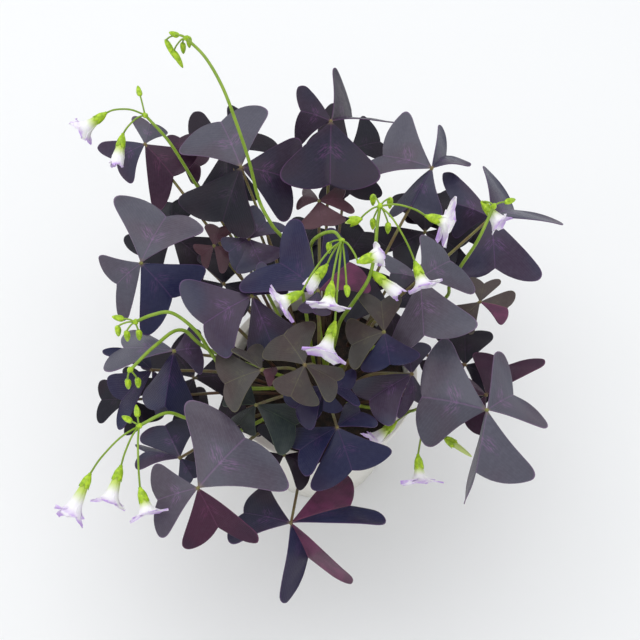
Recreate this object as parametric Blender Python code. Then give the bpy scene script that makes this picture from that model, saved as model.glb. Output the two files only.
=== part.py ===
"""Purple shamrock (Oxalis triangularis) with its pot, as separate closed solids.

Metres, +Z up. The pot stands on z = 0 with its base centre at the origin, and the
photo's viewer stands at -Y. A leaf is one petiole with three folded leaflets. Places
are given as in the photo, by the picture point and the height above the table, and
picture_to_world turns them into metres.
"""

import math
from collections import namedtuple

import bmesh
import bpy
from mathutils import Vector

# Photo geometry: the viewer looks down by this angle at a point above the soil.
VIEW_DOWN = math.radians(60)
VIEW_DISTANCE = 0.700
VIEW_CENTRE = Vector((0.0, 0.0, 0.170))
PICTURE_MIDDLE = 320
PIXELS_PER_UNIT_SLOPE = 1207

# Pot and soil
POT_HEIGHT = 0.104
POT_BASE_RADIUS = 0.043
POT_TOP_RADIUS = 0.058
POT_WALL = 0.0028
POT_FLOOR = 0.0040
RIM_HEIGHT = 0.014
RIM_OVERHANG = 0.0032
DRAIN_RADIUS = 0.0050
DRAIN_CIRCLE = 0.024
DRAIN_COUNT = 4
SOIL_LEVEL = 0.094
SOIL_DOME = 0.0030
SOIL_GAP = 0.0003
STEM_DEPTH = 0.012
SOIL_HOLE_RADIUS = 0.00165
POT_SIDES = 30
SMOOTH_ANGLE = math.radians(75)

# Leaves
BLADE_THICKNESS = 0.00075
PETIOLE_RADIUS = 0.00105
PETIOLE_SIDES = 5
HUB_RISE = 0.0008
ROOT_SPREAD = 0.27
SCAPE_SPREAD = 0.16
SCAPE_TURN = math.radians(10)
MIDRIB_ARCH = 0.05
LOBE_CURL = 0.07
LOBE_TIP = (1.19, 0.76)
LOBE_REACHES = (0.76, 0.84, 0.92, 1.00, 1.08, 1.16)
LOBE_SWEEPS = (0.84, 0.92, 1.00, 1.08, 1.16, 1.24, 1.32, 1.40)

# Flowers
SCAPE_RADIUS = 0.00100
SCAPE_STEPS = 1
PEDICEL_RADIUS = 0.00060
CALYX_RADIUS = 0.0019
BUD_RADIUS = 0.0017
BUD_LENGTH = 0.0075
COROLLA_WALL = 0.00075
COROLLA_GAP = 0.00025

# Half outline of a leaflet beyond its point at the hub, along and across the midrib, in midrib lengths
HALF_OUTLINE = (
    (0.55, 0.470),
    (1.00, 0.860),
    (1.20, 0.760),
    (1.21, 0.440),
)
MIDRIB_STATIONS = (0.016, 0.52, 1.00)

Leaf = namedtuple("Leaf", "name hub height leaflets root", defaults=(None,))
Leaflet = namedtuple("Leaflet", "notch rise left right fold", defaults=(-12,))
Spray = namedtuple("Spray", "name stalk buds flowers root", defaults=(None,))
Flower = namedtuple("Flower", "name neck height mouth drop radius")


def leaflet(notch, rise, left, right, fold=-12):
    """One leaflet: picture points of its notch and both lobe tips, and the notch's rise in mm."""
    return Leaflet(notch, rise, left, right, fold)


# Hubs and leaflets as the photo shows them; heights in mm above the table.
LEAVES = (
    Leaf("leaf_back_left", (145, 144), 196, (
        leaflet((150, 124), 2, (133, 115), (167, 132)),
        leaflet((117, 160), -8, (128, 180), (96, 147)),
        leaflet((173, 176), -10, (191, 149), (160, 212), -40),
    )),
    Leaf("leaf_back_mid", (241, 167), 205, (
        leaflet((221, 122), 0, (182, 144), (261, 103)),
        leaflet((288, 178), -8, (302, 141), (290, 219)),
        leaflet((223, 221), -14, (245, 237), (183, 200)),
    )),
    Leaf("leaf_back_centre", (331, 121), 208, (
        leaflet((301, 111), -4, (297, 144), (296, 86)),
        leaflet((352, 118), -22, (339, 64), (394, 120), 20),
        leaflet((330, 184), -6, (372, 182), (288, 180)),
    )),
    Leaf("leaf_small_brown", (319, 201), 190, (
        leaflet((342, 199), 0, (345, 185), (356, 209)),
        leaflet((303, 196), -5, (299, 205), (300, 188)),
        leaflet((323, 225), -4, (346, 219), (300, 227)),
    )),
    Leaf("leaf_back_right", (432, 168), 200, (
        leaflet((383, 156), -6, (363, 170), (400, 112)),
        leaflet((446, 156), -14, (446, 128), (456, 160), 20),
        leaflet((412, 205), -12, (437, 213), (389, 218)),
    )),
    Leaf("leaf_right", (491, 217), 192, (
        leaflet((453, 203), -5, (458, 236), (438, 172)),
        leaflet((514, 210), -20, (488, 166), (564, 221), 20),
        leaflet((495, 268), -12, (539, 279), (464, 276)),
    )),
    Leaf("leaf_mid_right", (420, 278), 218, (
        leaflet((450, 261), -4, (404, 222), (480, 293)),
        leaflet((424, 335), -10, (474, 326), (396, 350)),
        leaflet((391, 273), -6, (397, 288), (372, 256)),
    )),
    Leaf("leaf_olive_small", (384, 332), 208, (
        leaflet((352, 345), -7, (350, 366), (348, 321)),
        leaflet((381, 302), 2, (364, 292), (397, 292)),
        leaflet((390, 364), -8, (418, 352), (364, 370)),
    )),
    Leaf("leaf_front_right_inner", (412, 374), 184, (
        leaflet((370, 400), -8, (388, 420), (353, 384)),
        leaflet((407, 347), -3, (388, 340), (428, 344)),
        leaflet((414, 400), -10, (424, 404), (403, 420)),
    )),
    Leaf("leaf_front_right", (487, 410), 194, (
        leaflet((422, 397), -8, (426, 442), (437, 341)),
        leaflet((513, 395), -12, (500, 343), (552, 428), 20),
        leaflet((476, 472), -14, (538, 450), (462, 504), -30),
    )),
    Leaf("leaf_right_low", (486, 395), 162, (
        leaflet((507, 366), -2, (478, 352), (543, 356)),
        leaflet((465, 422), -6, (482, 434), (452, 426)),
        leaflet((460, 382), -3, (450, 394), (452, 370)),
    )),
    Leaf("leaf_front", (291, 523), 152, (
        leaflet((350, 506), -10, (349, 475), (387, 516), 15),
        leaflet((308, 557), -24, (347, 602), (288, 607), 10),
        leaflet((244, 513), -6, (227, 536), (258, 488)),
    )),
    Leaf("leaf_front_left", (198, 488), 186, (
        leaflet((245, 438), -4, (193, 398), (289, 481)),
        leaflet((158, 500), -8, (158, 536), (152, 468)),
        leaflet((218, 527), -13, (256, 547), (188, 549)),
    )),
    Leaf("leaf_left_front_under", (180, 458), 158, (
        leaflet((165, 426), -3, (142, 434), (192, 418)),
        leaflet((146, 452), -6, (140, 462), (119, 445)),
        leaflet((193, 478), -8, (204, 470), (184, 487)),
    )),
    Leaf("leaf_left", (174, 351), 188, (
        leaflet((124, 348), -7, (103, 366), (128, 330)),
        leaflet((200, 348), -4, (186, 321), (200, 375)),
        leaflet((165, 406), -12, (190, 418), (144, 400)),
    )),
    Leaf("leaf_left_under", (152, 370), 158, (
        leaflet((122, 400), -8, (116, 427), (108, 380)),
        leaflet((170, 402), -8, (186, 402), (160, 416)),
        leaflet((130, 350), -2, (104, 347), (135, 334)),
    )),
    Leaf("leaf_upper_left", (141, 263), 200, (
        leaflet((166, 217), -2, (122, 194), (200, 223)),
        leaflet((117, 284), -10, (126, 330), (90, 241)),
        leaflet((172, 298), -13, (208, 274), (150, 338)),
    )),
    Leaf("leaf_mid_left", (252, 296), 214, (
        leaflet((204, 324), -8, (222, 354), (180, 286)),
        leaflet((272, 345), -12, (296, 336), (254, 367)),
        leaflet((271, 277), 2, (262, 262), (288, 288)),
    ), (-11, 0)),
    Leaf("leaf_mid", (318, 291), 228, (
        leaflet((280, 263), -6, (238, 282), (290, 217)),
        leaflet((349, 262), 0, (334, 226), (367, 285), 14),
        leaflet((313, 312), -3, (327, 312), (301, 310)),
    )),
    Leaf("leaf_mid_small", (249, 239), 188, (
        leaflet((261, 264), -6, (281, 248), (239, 272)),
        leaflet((229, 252), -5, (236, 272), (220, 240)),
        leaflet((266, 222), 0, (254, 203), (286, 224)),
    ), (-9, 16)),
    Leaf("leaf_olive_left", (262, 370), 204, (
        leaflet((225, 384), -8, (231, 408), (216, 353)),
        leaflet((274, 376), -3, (276, 368), (270, 386)),
        leaflet((247, 352), -1, (236, 346), (258, 344)),
    ), (-3, -10)),
    Leaf("leaf_centre_left_low", (256, 405), 182, (
        leaflet((295, 425), -7, (307, 409), (286, 452)),
        leaflet((240, 424), -7, (250, 434), (230, 424)),
        leaflet((236, 392), -3, (224, 400), (242, 378)),
    ), (-4, -20)),
    Leaf("leaf_olive_centre", (305, 365), 222, (
        leaflet((284, 335), -2, (264, 350), (309, 320)),
        leaflet((291, 396), -9, (314, 405), (274, 385)),
        leaflet((336, 381), -6, (345, 372), (334, 400)),
    ), (1, -12)),
    Leaf("leaf_centre_dark", (325, 385), 196, (
        leaflet((296, 408), -6, (305, 428), (282, 396)),
        leaflet((350, 390), -4, (356, 370), (362, 402)),
        leaflet((323, 410), -9, (340, 410), (316, 430)),
    ), (6, -15)),
    Leaf("leaf_front_mid", (337, 427), 178, (
        leaflet((300, 450), -6, (301, 474), (283, 436)),
        leaflet((352, 470), -10, (391, 454), (316, 491)),
        leaflet((360, 412), -2, (350, 402), (376, 420)),
    )),
    Leaf("leaf_right_small", (480, 302), 176, (
        leaflet((507, 308), 0, (516, 296), (501, 323), 25),
        leaflet((463, 318), -5, (468, 334), (452, 310)),
        leaflet((484, 284), 1, (474, 276), (496, 276)),
    )),
    Leaf("leaf_back_inner", (178, 154), 178, (
        leaflet((200, 166), -2, (210, 155), (198, 182)),
        leaflet((158, 160), -4, (158, 172), (150, 152)),
        leaflet((180, 138), 0, (170, 134), (192, 132)),
    )),
    Leaf("leaf_young_left", (214, 246), 174, (
        leaflet((219, 228), 2, (208, 223), (232, 225)),
        leaflet((229, 258), -2, (238, 249), (226, 273)),
        leaflet((201, 255), -2, (205, 270), (192, 245)),
    )),
    Leaf("filler_back_a", (225, 150), 150, (
        leaflet((190, 138), -4, (176, 158), (192, 110)),
        leaflet((256, 133), -4, (234, 104), (280, 146)),
        leaflet((228, 190), -7, (256, 200), (200, 204)),
    )),
    Leaf("filler_back_b", (350, 150), 152, (
        leaflet((318, 132), -4, (304, 154), (330, 102)),
        leaflet((380, 142), -4, (366, 116), (396, 162)),
        leaflet((350, 194), -7, (378, 196), (322, 200)),
    )),
    Leaf("filler_right_a", (450, 235), 148, (
        leaflet((430, 205), -2, (408, 214), (452, 188)),
        leaflet((488, 226), -4, (482, 200), (502, 250)),
        leaflet((446, 270), -7, (474, 274), (424, 282)),
    )),
    Leaf("filler_left_a", (172, 235), 150, (
        leaflet((172, 203), -2, (150, 208), (196, 196)),
        leaflet((142, 256), -6, (152, 282), (122, 240)),
        leaflet((204, 262), -6, (222, 244), (198, 290)),
    )),
    Leaf("filler_left_b", (212, 425), 124, (
        leaflet((186, 404), -3, (174, 420), (196, 386)),
        leaflet((246, 412), -3, (232, 388), (262, 430)),
        leaflet((212, 462), -7, (240, 468), (186, 468)),
    )),
    Leaf("filler_back_b", (345, 262), 130, (
        leaflet((364, 232), -4, (342, 215), (392, 241)),
        leaflet((307, 262), -4, (301, 288), (301, 236)),
        leaflet((364, 292), -4, (392, 283), (342, 309)),
    )),
    Leaf("filler_right_a", (425, 232), 155, (
        leaflet((425, 199), -4, (397, 193), (453, 193)),
        leaflet((393, 249), -4, (402, 273), (374, 230)),
        leaflet((457, 249), -4, (476, 230), (448, 273)),
    )),
    Leaf("filler_left_a", (224, 284), 160, (
        leaflet((224, 257), -4, (201, 253), (247, 253)),
        leaflet((198, 298), -4, (205, 317), (183, 282)),
        leaflet((250, 298), -4, (265, 282), (243, 317)),
    )),
    Leaf("filler_left_b", (194, 378), 124, (
        leaflet((234, 375), -4, (237, 347), (243, 401)),
        leaflet((171, 349), -4, (143, 359), (192, 328)),
        leaflet((177, 411), -4, (202, 427), (147, 404)),
    )),
    Leaf("filler_back_b", (300, 250), 131, (
        leaflet((314, 228), -4, (298, 215), (334, 234)),
        leaflet((272, 250), -4, (268, 269), (268, 231)),
        leaflet((314, 272), -4, (334, 266), (298, 285)),
    )),
    Leaf("filler_right_a", (390, 308), 174, (
        leaflet((416, 289), -4, (404, 269), (435, 304)),
        leaflet((359, 297), -4, (345, 317), (363, 275)),
        leaflet((395, 337), -4, (420, 338), (371, 345)),
    )),
    Leaf("filler_left_b", (284, 455), 158, (
        leaflet((284, 428), -4, (261, 424), (307, 424)),
        leaflet((258, 468), -4, (265, 488), (243, 453)),
        leaflet((310, 468), -4, (325, 453), (303, 488)),
    )),
    Leaf("filler_right_a", (465, 365), 146, (
        leaflet((465, 335), -4, (440, 331), (490, 331)),
        leaflet((436, 380), -4, (444, 402), (420, 363)),
        leaflet((494, 380), -4, (510, 363), (486, 402)),
    )),
    Leaf("filler_left_b", (130, 400), 132, (
        leaflet((144, 378), -4, (128, 365), (164, 384)),
        leaflet((102, 400), -4, (98, 419), (98, 381)),
        leaflet((144, 422), -4, (164, 416), (128, 435)),
    )),
)

# Flower stalks as picture points with heights in mm, from the soil upwards.
SPRAYS = (
    Spray("spray_back", ((296, 262, 172), (272, 225, 202), (259, 200, 212), (249, 161, 234), (236, 122, 252), (222, 86, 264),
                         (205, 57, 270), (186, 38, 270)),
          ((171, 50, 258, 177, 61), (178, 59, 256, 183, 68), (183, 48, 258), (189, 42, 262), (174, 34, 268)), ()),
    Spray("spray_back_left", ((236, 236, 156), (214, 210, 174), (197, 186, 188), (170, 143, 222), (145, 115, 234)),
          ((139, 91, 236),),
          (Flower("corolla_back_left_a", (106, 113), 232, (78, 134), 10, 8.5),
           Flower("corolla_back_left_b", (123, 134), 228, (115, 171), 10, 4.0))),
    Spray("spray_left", ((246, 388, 156), (227, 375, 174), (211, 353, 196), (196, 331, 222), (172, 313, 236),
                       (152, 315, 237), (135, 322, 232)),
          ((118, 318, 230), (118, 331, 228), (127, 336, 227), (139, 335, 226)), ()),
    Spray("spray_left_low", ((214, 352, 176), (182, 330, 206), (156, 345, 218), (130, 370, 218)),
          ((128, 384, 210), (138, 383, 210)), ()),
    Spray("spray_front_left", ((236, 432, 138), (205, 422, 162), (186, 418, 184), (166, 413, 198), (139, 426, 200)),
          ((137, 411, 200), (127, 419, 198)),
          (Flower("corolla_front_left_a", (90, 474), 192, (66, 524), 8, 8.5),
           Flower("corolla_front_left_b", (121, 466), 192, (106, 512), 8, 9.0),
           Flower("corolla_front_left_c", (140, 488), 190, (150, 520), 6, 10.0)), (-7, -12)),
    Spray("spray_right_inner", ((334, 345, 150), (340, 322, 188), (353, 303, 222), (369, 278, 238), (375, 250, 248),
                                (377, 228, 253), (380, 206, 256)),
          ((373, 200, 252), (390, 203, 252), (373, 224, 248), (388, 228, 247), (350, 222, 246)),
          (Flower("corolla_right_a", (426, 216), 250, (452, 224), 4, 13.5),
           Flower("corolla_right_b", (415, 262), 240, (426, 292), 6, 9.5),
           Flower("corolla_right_c", (372, 272), 240, (405, 299), 8, 3.5))),
    Spray("spray_mid", ((312, 262, 190), (311, 245, 224), (320, 235, 242), (334, 232, 249), (342, 241, 250)),
          ((329, 248, 242), (347, 291, 250)),
          (Flower("corolla_mid_a", (358, 262), 260, (384, 253), 2, 6.5),
           Flower("corolla_mid_b", (332, 282), 260, (327, 311), 6, 11.0),
           Flower("corolla_mid_c", (302, 292), 246, (276, 306), 4, 11.0),
           Flower("corolla_mid_d", (335, 322), 242, (322, 360), 6, 11.5),
           Flower("corolla_mid_e", (327, 265), 248, (304, 293), 6, 3.5)), (3, 5)),
    Spray("spray_front_right", ((384, 410, 112), (406, 412, 130), (426, 406, 148)),
          ((458, 447, 144, 472, 457),),
          (Flower("corolla_front_right_a", (396, 422), 150, (368, 446), 4, 8.0),
           Flower("corolla_front_right_b", (418, 455), 148, (421, 488), 6, 12.0)), (17, -19)),
    Spray("spray_far_right", ((436, 306, 158), (450, 285, 182), (461, 266, 204), (478, 240, 224), (494, 206, 234)),
          ((510, 201, 232),),
          (Flower("corolla_far_right", (482, 202), 230, (504, 228), 5, 7.0),)),
)

COLOURS = {
    "pot": ((0.80, 0.79, 0.75), 0.35),
    "soil": ((0.045, 0.030, 0.022), 0.95),
    "leaf": ((0.075, 0.030, 0.065), 0.45),
    "spray": ((0.36, 0.52, 0.06), 0.50),
    "corolla": ((0.86, 0.80, 0.90), 0.50),
}


def clear_scene():
    """Remove every object that the file opens with."""
    for thing in list(bpy.data.objects):
        bpy.data.objects.remove(thing, do_unlink=True)


def picture_to_world(point, height_mm):
    """World place of a picture point at a height above the table."""
    back = Vector((0.0, -math.cos(VIEW_DOWN), math.sin(VIEW_DOWN)))
    up = Vector((0.0, math.sin(VIEW_DOWN), math.cos(VIEW_DOWN)))
    right = Vector((1.0, 0.0, 0.0))
    eye = VIEW_CENTRE + back * VIEW_DISTANCE
    across = (point[0] - PICTURE_MIDDLE) / PIXELS_PER_UNIT_SLOPE
    rise = (PICTURE_MIDDLE - point[1]) / PIXELS_PER_UNIT_SLOPE
    ray = right * across + up * rise - back
    return eye + ray * ((height_mm / 1000 - eye.z) / ray.z)


def world_to_picture(place):
    """Picture point at which a world place is seen."""
    back = Vector((0.0, -math.cos(VIEW_DOWN), math.sin(VIEW_DOWN)))
    up = Vector((0.0, math.sin(VIEW_DOWN), math.cos(VIEW_DOWN)))
    offset = Vector(place) - (VIEW_CENTRE + back * VIEW_DISTANCE)
    depth = -offset.dot(back)
    across = offset.x / depth * PIXELS_PER_UNIT_SLOPE
    rise = offset.dot(up) / depth * PIXELS_PER_UNIT_SLOPE
    return (PICTURE_MIDDLE + across, PICTURE_MIDDLE - rise)


def new_object(name, vertices, faces, kind):
    """A mesh object with its own Principled material."""
    mesh = bpy.data.meshes.new(name)
    mesh.from_pydata([tuple(v) for v in vertices], [], faces)
    mesh.update()
    thing = bpy.data.objects.new(name, mesh)
    bpy.context.scene.collection.objects.link(thing)
    colour, roughness = COLOURS[kind]
    material = bpy.data.materials.new(name + "_material")
    material.use_nodes = True
    shader = material.node_tree.nodes["Principled BSDF"]
    shader.inputs["Base Color"].default_value = (*colour, 1.0)
    shader.inputs["Roughness"].default_value = roughness
    shader.inputs["Metallic"].default_value = 0.0
    mesh.materials.append(material)
    return thing


def smooth_path(points, steps):
    """Points along a Catmull-Rom curve through the given points."""
    padded = [points[0] * 2 - points[1]] + list(points) + [points[-1] * 2 - points[-2]]
    path = []
    for i in range(1, len(padded) - 2):
        before, start, end, after = padded[i - 1:i + 3]
        for k in range(steps):
            t = k / steps
            path.append(
                0.5 * (2 * start + (end - before) * t
                       + (2 * before - 5 * start + 4 * end - after) * t * t
                       + (3 * start - before - 3 * end + after) * t ** 3)
            )
    path.append(points[-1].copy())
    return path


def tube(path, radii, sides):
    """Vertices and faces of a closed round tube along a path, with flat ends."""
    vertices = []
    faces = []
    side = None
    for i, place in enumerate(path):
        ahead = (path[min(i + 1, len(path) - 1)] - path[max(i - 1, 0)]).normalized()
        if side is None:
            side = ahead.orthogonal().normalized()
        side = (side - ahead * side.dot(ahead)).normalized()
        other = ahead.cross(side)
        for k in range(sides):
            angle = 2 * math.pi * k / sides
            vertices.append(place + (side * math.cos(angle) + other * math.sin(angle)) * radii[i])
    for i in range(len(path) - 1):
        for k in range(sides):
            a = i * sides + k
            b = i * sides + (k + 1) % sides
            faces.append((a, b, b + sides, a + sides))
    faces.append(tuple(reversed(range(sides))))
    faces.append(tuple(range((len(path) - 1) * sides, len(path) * sides)))
    return vertices, faces


def lobe_fit(hub, midrib, across, normal, tip, start_turn):
    """Fold angle, reach and sweep that bring a lobe's tip nearest to its place in the photo."""
    length = midrib.length
    best = None
    for step in range(-82, 67, 4):
        angle = math.radians(step)
        arm = (across * math.cos(angle) + normal * math.sin(angle)) * (LOBE_TIP[1] * length)
        for share in LOBE_REACHES:
            for sweep in LOBE_SWEEPS:
                seen = world_to_picture(hub + midrib * (LOBE_TIP[0] * sweep) + arm * share)
                miss = (seen[0] - tip[0]) ** 2 + (seen[1] - tip[1]) ** 2
                miss += 0.02 * (step - start_turn) ** 2 + 500 * (share - 1.0) ** 2 + 250 * (sweep - 1.0) ** 2
                if best is None or miss < best[0]:
                    best = (miss, angle, share, sweep)
    return best[1:]


def blade(hub, hub_height, shape):
    """Closed mesh of one folded leaflet, as vertices and faces."""
    end = picture_to_world(shape.notch, hub_height + shape.rise)
    midrib = end - hub
    length = midrib.length
    forward = midrib.normalized()
    across = forward.cross(Vector((0.0, 0.0, 1.0))).normalized()
    normal = across.cross(forward).normalized()
    middle = []
    for along in MIDRIB_STATIONS:
        arch = MIDRIB_ARCH * length * math.sin(math.pi * along)
        middle.append(hub + midrib * along + normal * arch)
    halves = []
    for sign, tip in ((-1, shape.left), (1, shape.right)):
        outward = across * sign
        turn, share, sweep = lobe_fit(hub, midrib, outward, normal, tip, shape.fold)
        arm = outward * math.cos(turn) + normal * math.sin(turn)
        hollow = normal * math.cos(turn) - outward * math.sin(turn)
        edge = []
        for along, reach in HALF_OUTLINE:
            arch = MIDRIB_ARCH * length * math.sin(math.pi * min(along, 1.0))
            bend = -LOBE_CURL * length * reach * reach
            wide = reach * share * length
            far = along * (1 + (sweep - 1) * min(reach / LOBE_TIP[1], 1.0))
            edge.append(hub + midrib * far + normal * arch + arm * wide + hollow * bend)
        halves.append(edge)
    centre = middle + halves[0] + halves[1]
    m = len(middle)
    n = len(HALF_OUTLINE)
    triangles = []
    for half in (0, 1):
        o = m + half * n
        side = [(0, 1, o), (1, o + 1, o), (1, o + 2, o + 1), (1, o + 3, o + 2), (1, 2, o + 3)]
        if half == 1:
            side = [tuple(reversed(face)) for face in side]
        triangles += side
    return thicken(centre, triangles, normal, BLADE_THICKNESS)


def thicken(centre, triangles, facing, thickness):
    """Closed solid of even thickness round a sheet of triangles, split alike on both faces."""
    normals = [Vector((0, 0, 0)) for _ in centre]
    for face in triangles:
        a, b, c = (centre[i] for i in face)
        direction = (b - a).cross(c - a)
        for i in face:
            normals[i] += direction
    if sum(n.dot(facing) for n in normals) < 0:
        triangles = [tuple(reversed(face)) for face in triangles]
        normals = [-n for n in normals]
    normals = [n.normalized() for n in normals]
    count = len(centre)
    upper = [p + n * thickness / 2 for p, n in zip(centre, normals)]
    lower = [p - n * thickness / 2 for p, n in zip(centre, normals)]
    faces = list(triangles)
    faces += [tuple(count + i for i in reversed(face)) for face in triangles]
    edges = {}
    for face in triangles:
        for k in range(3):
            edges[(face[k], face[(k + 1) % 3])] = True
    for a, b in edges:
        if (b, a) not in edges:
            faces.append((b, a, count + a))
            faces.append((b, count + a, count + b))
    return upper + lower, faces


def ball(centre, radius, rings=3, sides=5, stretch=None):
    """Closed low ball, stretched along one direction where that is given."""
    axis = Vector((0, 0, 1)) if stretch is None else stretch.normalized()
    half = radius if stretch is None else stretch.length / 2
    side = axis.orthogonal().normalized()
    other = axis.cross(side)
    vertices = [centre - axis * half]
    for i in range(1, rings):
        angle = math.pi * i / rings
        for k in range(sides):
            turn = 2 * math.pi * k / sides
            around = side * math.cos(turn) + other * math.sin(turn)
            vertices.append(centre - axis * half * math.cos(angle) + around * radius * math.sin(angle))
    vertices.append(centre + axis * half)
    last = len(vertices) - 1
    faces = []
    for k in range(sides):
        after = (k + 1) % sides
        faces.append((0, 1 + after, 1 + k))
        faces.append((last, last - sides + k, last - sides + after))
        for i in range(rings - 2):
            a = 1 + i * sides
            faces.append((a + k, a + after, a + sides + after, a + sides + k))
    return vertices, faces


def fuse(name, pieces, kind):
    """One closed body from overlapping closed pieces, by a union on a collection."""
    base = new_object(name, *pieces[0], kind)
    group = bpy.data.collections.new(name + "_pieces")
    bpy.context.scene.collection.children.link(group)
    extras = []
    for i, (vertices, faces) in enumerate(pieces[1:]):
        extra = new_object("%s_piece_%d" % (name, i), vertices, faces, kind)
        bpy.context.scene.collection.objects.unlink(extra)
        group.objects.link(extra)
        extras.append(extra)
    union = base.modifiers.new("union", "BOOLEAN")
    union.operation = "UNION"
    union.operand_type = "COLLECTION"
    union.collection = group
    union.solver = "EXACT"
    bpy.ops.object.select_all(action="DESELECT")
    base.select_set(True)
    bpy.context.view_layer.objects.active = base
    bpy.ops.object.modifier_apply(modifier=union.name)
    for extra in extras:
        mesh = extra.data
        material = mesh.materials[0]
        bpy.data.objects.remove(extra, do_unlink=True)
        bpy.data.meshes.remove(mesh)
        bpy.data.materials.remove(material)
    bpy.data.collections.remove(group)
    tidy_mesh(base)
    return base


def loose_scraps(sheet):
    """Vertices outside the mesh's largest connected body."""
    groups = []
    waiting = set(sheet.verts)
    while waiting:
        group = {waiting.pop()}
        front = list(group)
        while front:
            for edge in front.pop().link_edges:
                for vertex in edge.verts:
                    if vertex in waiting:
                        waiting.remove(vertex)
                        group.add(vertex)
                        front.append(vertex)
        groups.append(group)
    groups.sort(key=len)
    return [vertex for group in groups[:-1] for vertex in group]


def tidy_mesh(thing):
    """Weld, drop loose scraps and flat leftovers, and split into triangles."""
    sheet = bmesh.new()
    sheet.from_mesh(thing.data)
    bmesh.ops.remove_doubles(sheet, verts=sheet.verts, dist=2e-6)
    bmesh.ops.delete(sheet, geom=loose_scraps(sheet), context="VERTS")
    bmesh.ops.dissolve_degenerate(sheet, edges=sheet.edges, dist=2e-6)
    bmesh.ops.triangulate(sheet, faces=sheet.faces)
    sheet.to_mesh(thing.data)
    sheet.free()
    while len(thing.data.materials) > 1:
        thing.data.materials.pop(index=len(thing.data.materials) - 1)
    bpy.ops.object.select_all(action="DESELECT")
    thing.select_set(True)
    bpy.context.view_layer.objects.active = thing
    bpy.ops.object.shade_smooth_by_angle(angle=SMOOTH_ANGLE)


def soil_height(x, y):
    """Height of the soil's gently domed surface."""
    radius = math.hypot(x, y)
    return SOIL_LEVEL + SOIL_DOME * (1 - (radius / POT_TOP_RADIUS) ** 2)


def stem_root(top, given):
    """Place in the soil that a stem grows from: under its top, drawn in towards the crown."""
    if given is not None:
        return Vector((given[0] / 1000, given[1] / 1000, 0.0))
    return Vector((top.x * ROOT_SPREAD, top.y * ROOT_SPREAD, 0.0))


def petiole_path(hub, root):
    """Curve of a petiole from under the soil's surface to the hub."""
    ground = soil_height(root.x, root.y)
    start = Vector((root.x, root.y, ground - STEM_DEPTH))
    collar = Vector((root.x, root.y, ground + 0.002))
    out = Vector((hub.x - root.x, hub.y - root.y, 0.0))
    rise = hub.z - collar.z
    bend = collar + out * 0.42 + Vector((0, 0, rise * 0.58))
    top = hub + (hub - bend).normalized() * HUB_RISE
    return [start] + smooth_path([collar, bend, top], 2)


def add_leaves(name):
    """The leaves of one name, fused where their petioles spring from one bulb.

    A leaf is a petiole and three folded leaflets that meet on its top.
    """
    pieces = []
    root = None
    for leaf in LEAVES:
        if leaf.name != name:
            continue
        hub = picture_to_world(leaf.hub, leaf.height)
        if root is None:
            root = stem_root(hub, leaf.root)
            path = petiole_path(hub, root)
            stem = path
        else:
            path = petiole_path(hub, root)[1:]
        pieces.append(tube(path, [PETIOLE_RADIUS] * len(path), PETIOLE_SIDES))
        pieces += [blade(hub, leaf.height, shape) for shape in leaf.leaflets]
    fuse(name, pieces, "leaf")
    return stem


def spray_path(spray):
    """Curve of a scape from under the soil's surface to its umbel."""
    points = [picture_to_world(p[:2], p[2]) for p in spray.stalk]
    near = Vector((points[0].x, points[0].y)) * SCAPE_SPREAD
    cos, sin = math.cos(SCAPE_TURN), math.sin(SCAPE_TURN)
    root = Vector((near.x * cos - near.y * sin, near.x * sin + near.y * cos, 0.0))
    if spray.root is not None:
        root = Vector((spray.root[0] / 1000, spray.root[1] / 1000, 0.0))
    ground = soil_height(root.x, root.y)
    start = Vector((root.x, root.y, ground - STEM_DEPTH))
    collar = Vector((root.x, root.y, ground + 0.002))
    return [start] + smooth_path([collar] + points, SCAPE_STEPS)


def add_spray(spray):
    """One flower stalk with its pedicels, calyces and green buds, and its corollas."""
    path = spray_path(spray)
    umbel = path[-1]
    pieces = [tube(path, [SCAPE_RADIUS] * len(path), PETIOLE_SIDES), ball(umbel, SCAPE_RADIUS * 1.6)]
    for bud in spray.buds:
        centre, hang, length = bud_ends(umbel, bud)
        top = centre - hang * (length / 2 - 0.0008)
        pieces.append(tube(pedicel_path(umbel, top), [PEDICEL_RADIUS] * 4, 4))
        pieces.append(ball(centre, BUD_RADIUS, stretch=hang * length))
    for flower in spray.flowers:
        neck, mouth, axis = flower_ends(flower)
        pieces.append(tube(pedicel_path(umbel, neck), [PEDICEL_RADIUS] * 4, 4))
        pieces.append(calyx(neck, axis))
        add_corolla(flower)
    fuse(spray.name, pieces, "spray")
    return path


def bud_ends(umbel, bud):
    """Centre, direction and length of a bud; one with a tip of its own is a closed flower."""
    centre = picture_to_world(bud[:2], bud[2])
    if len(bud) > 3:
        tip = picture_to_world(bud[3:5], bud[2] - 4)
        return centre, (tip - centre).normalized(), 2 * (tip - centre).length
    if centre.z > umbel.z - 0.003:
        return centre, (centre - umbel).normalized(), BUD_LENGTH
    return centre, Vector((0.0, -0.35, -1.0)).normalized(), BUD_LENGTH


def pedicel_path(umbel, end):
    """Arched curve of a pedicel from the umbel to its bud or calyx."""
    span = end - umbel
    lift = Vector((0, 0, 0.18 * span.length))
    return [umbel, umbel + span * 0.35 + lift, umbel + span * 0.75 + lift * 0.8, end]


def flower_ends(flower):
    """Neck, mouth and direction of a flower."""
    neck = picture_to_world(flower.neck, flower.height)
    mouth = picture_to_world(flower.mouth, flower.height - flower.drop)
    return neck, mouth, (mouth - neck).normalized()


def calyx(neck, axis):
    """Green calyx as a closed cup, flat where the corolla sits."""
    path = [neck - axis * 0.0006, neck + axis * 0.0018, neck + axis * 0.0045]
    return tube(path, [0.0008, CALYX_RADIUS, CALYX_RADIUS * 0.95], 5)


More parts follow.
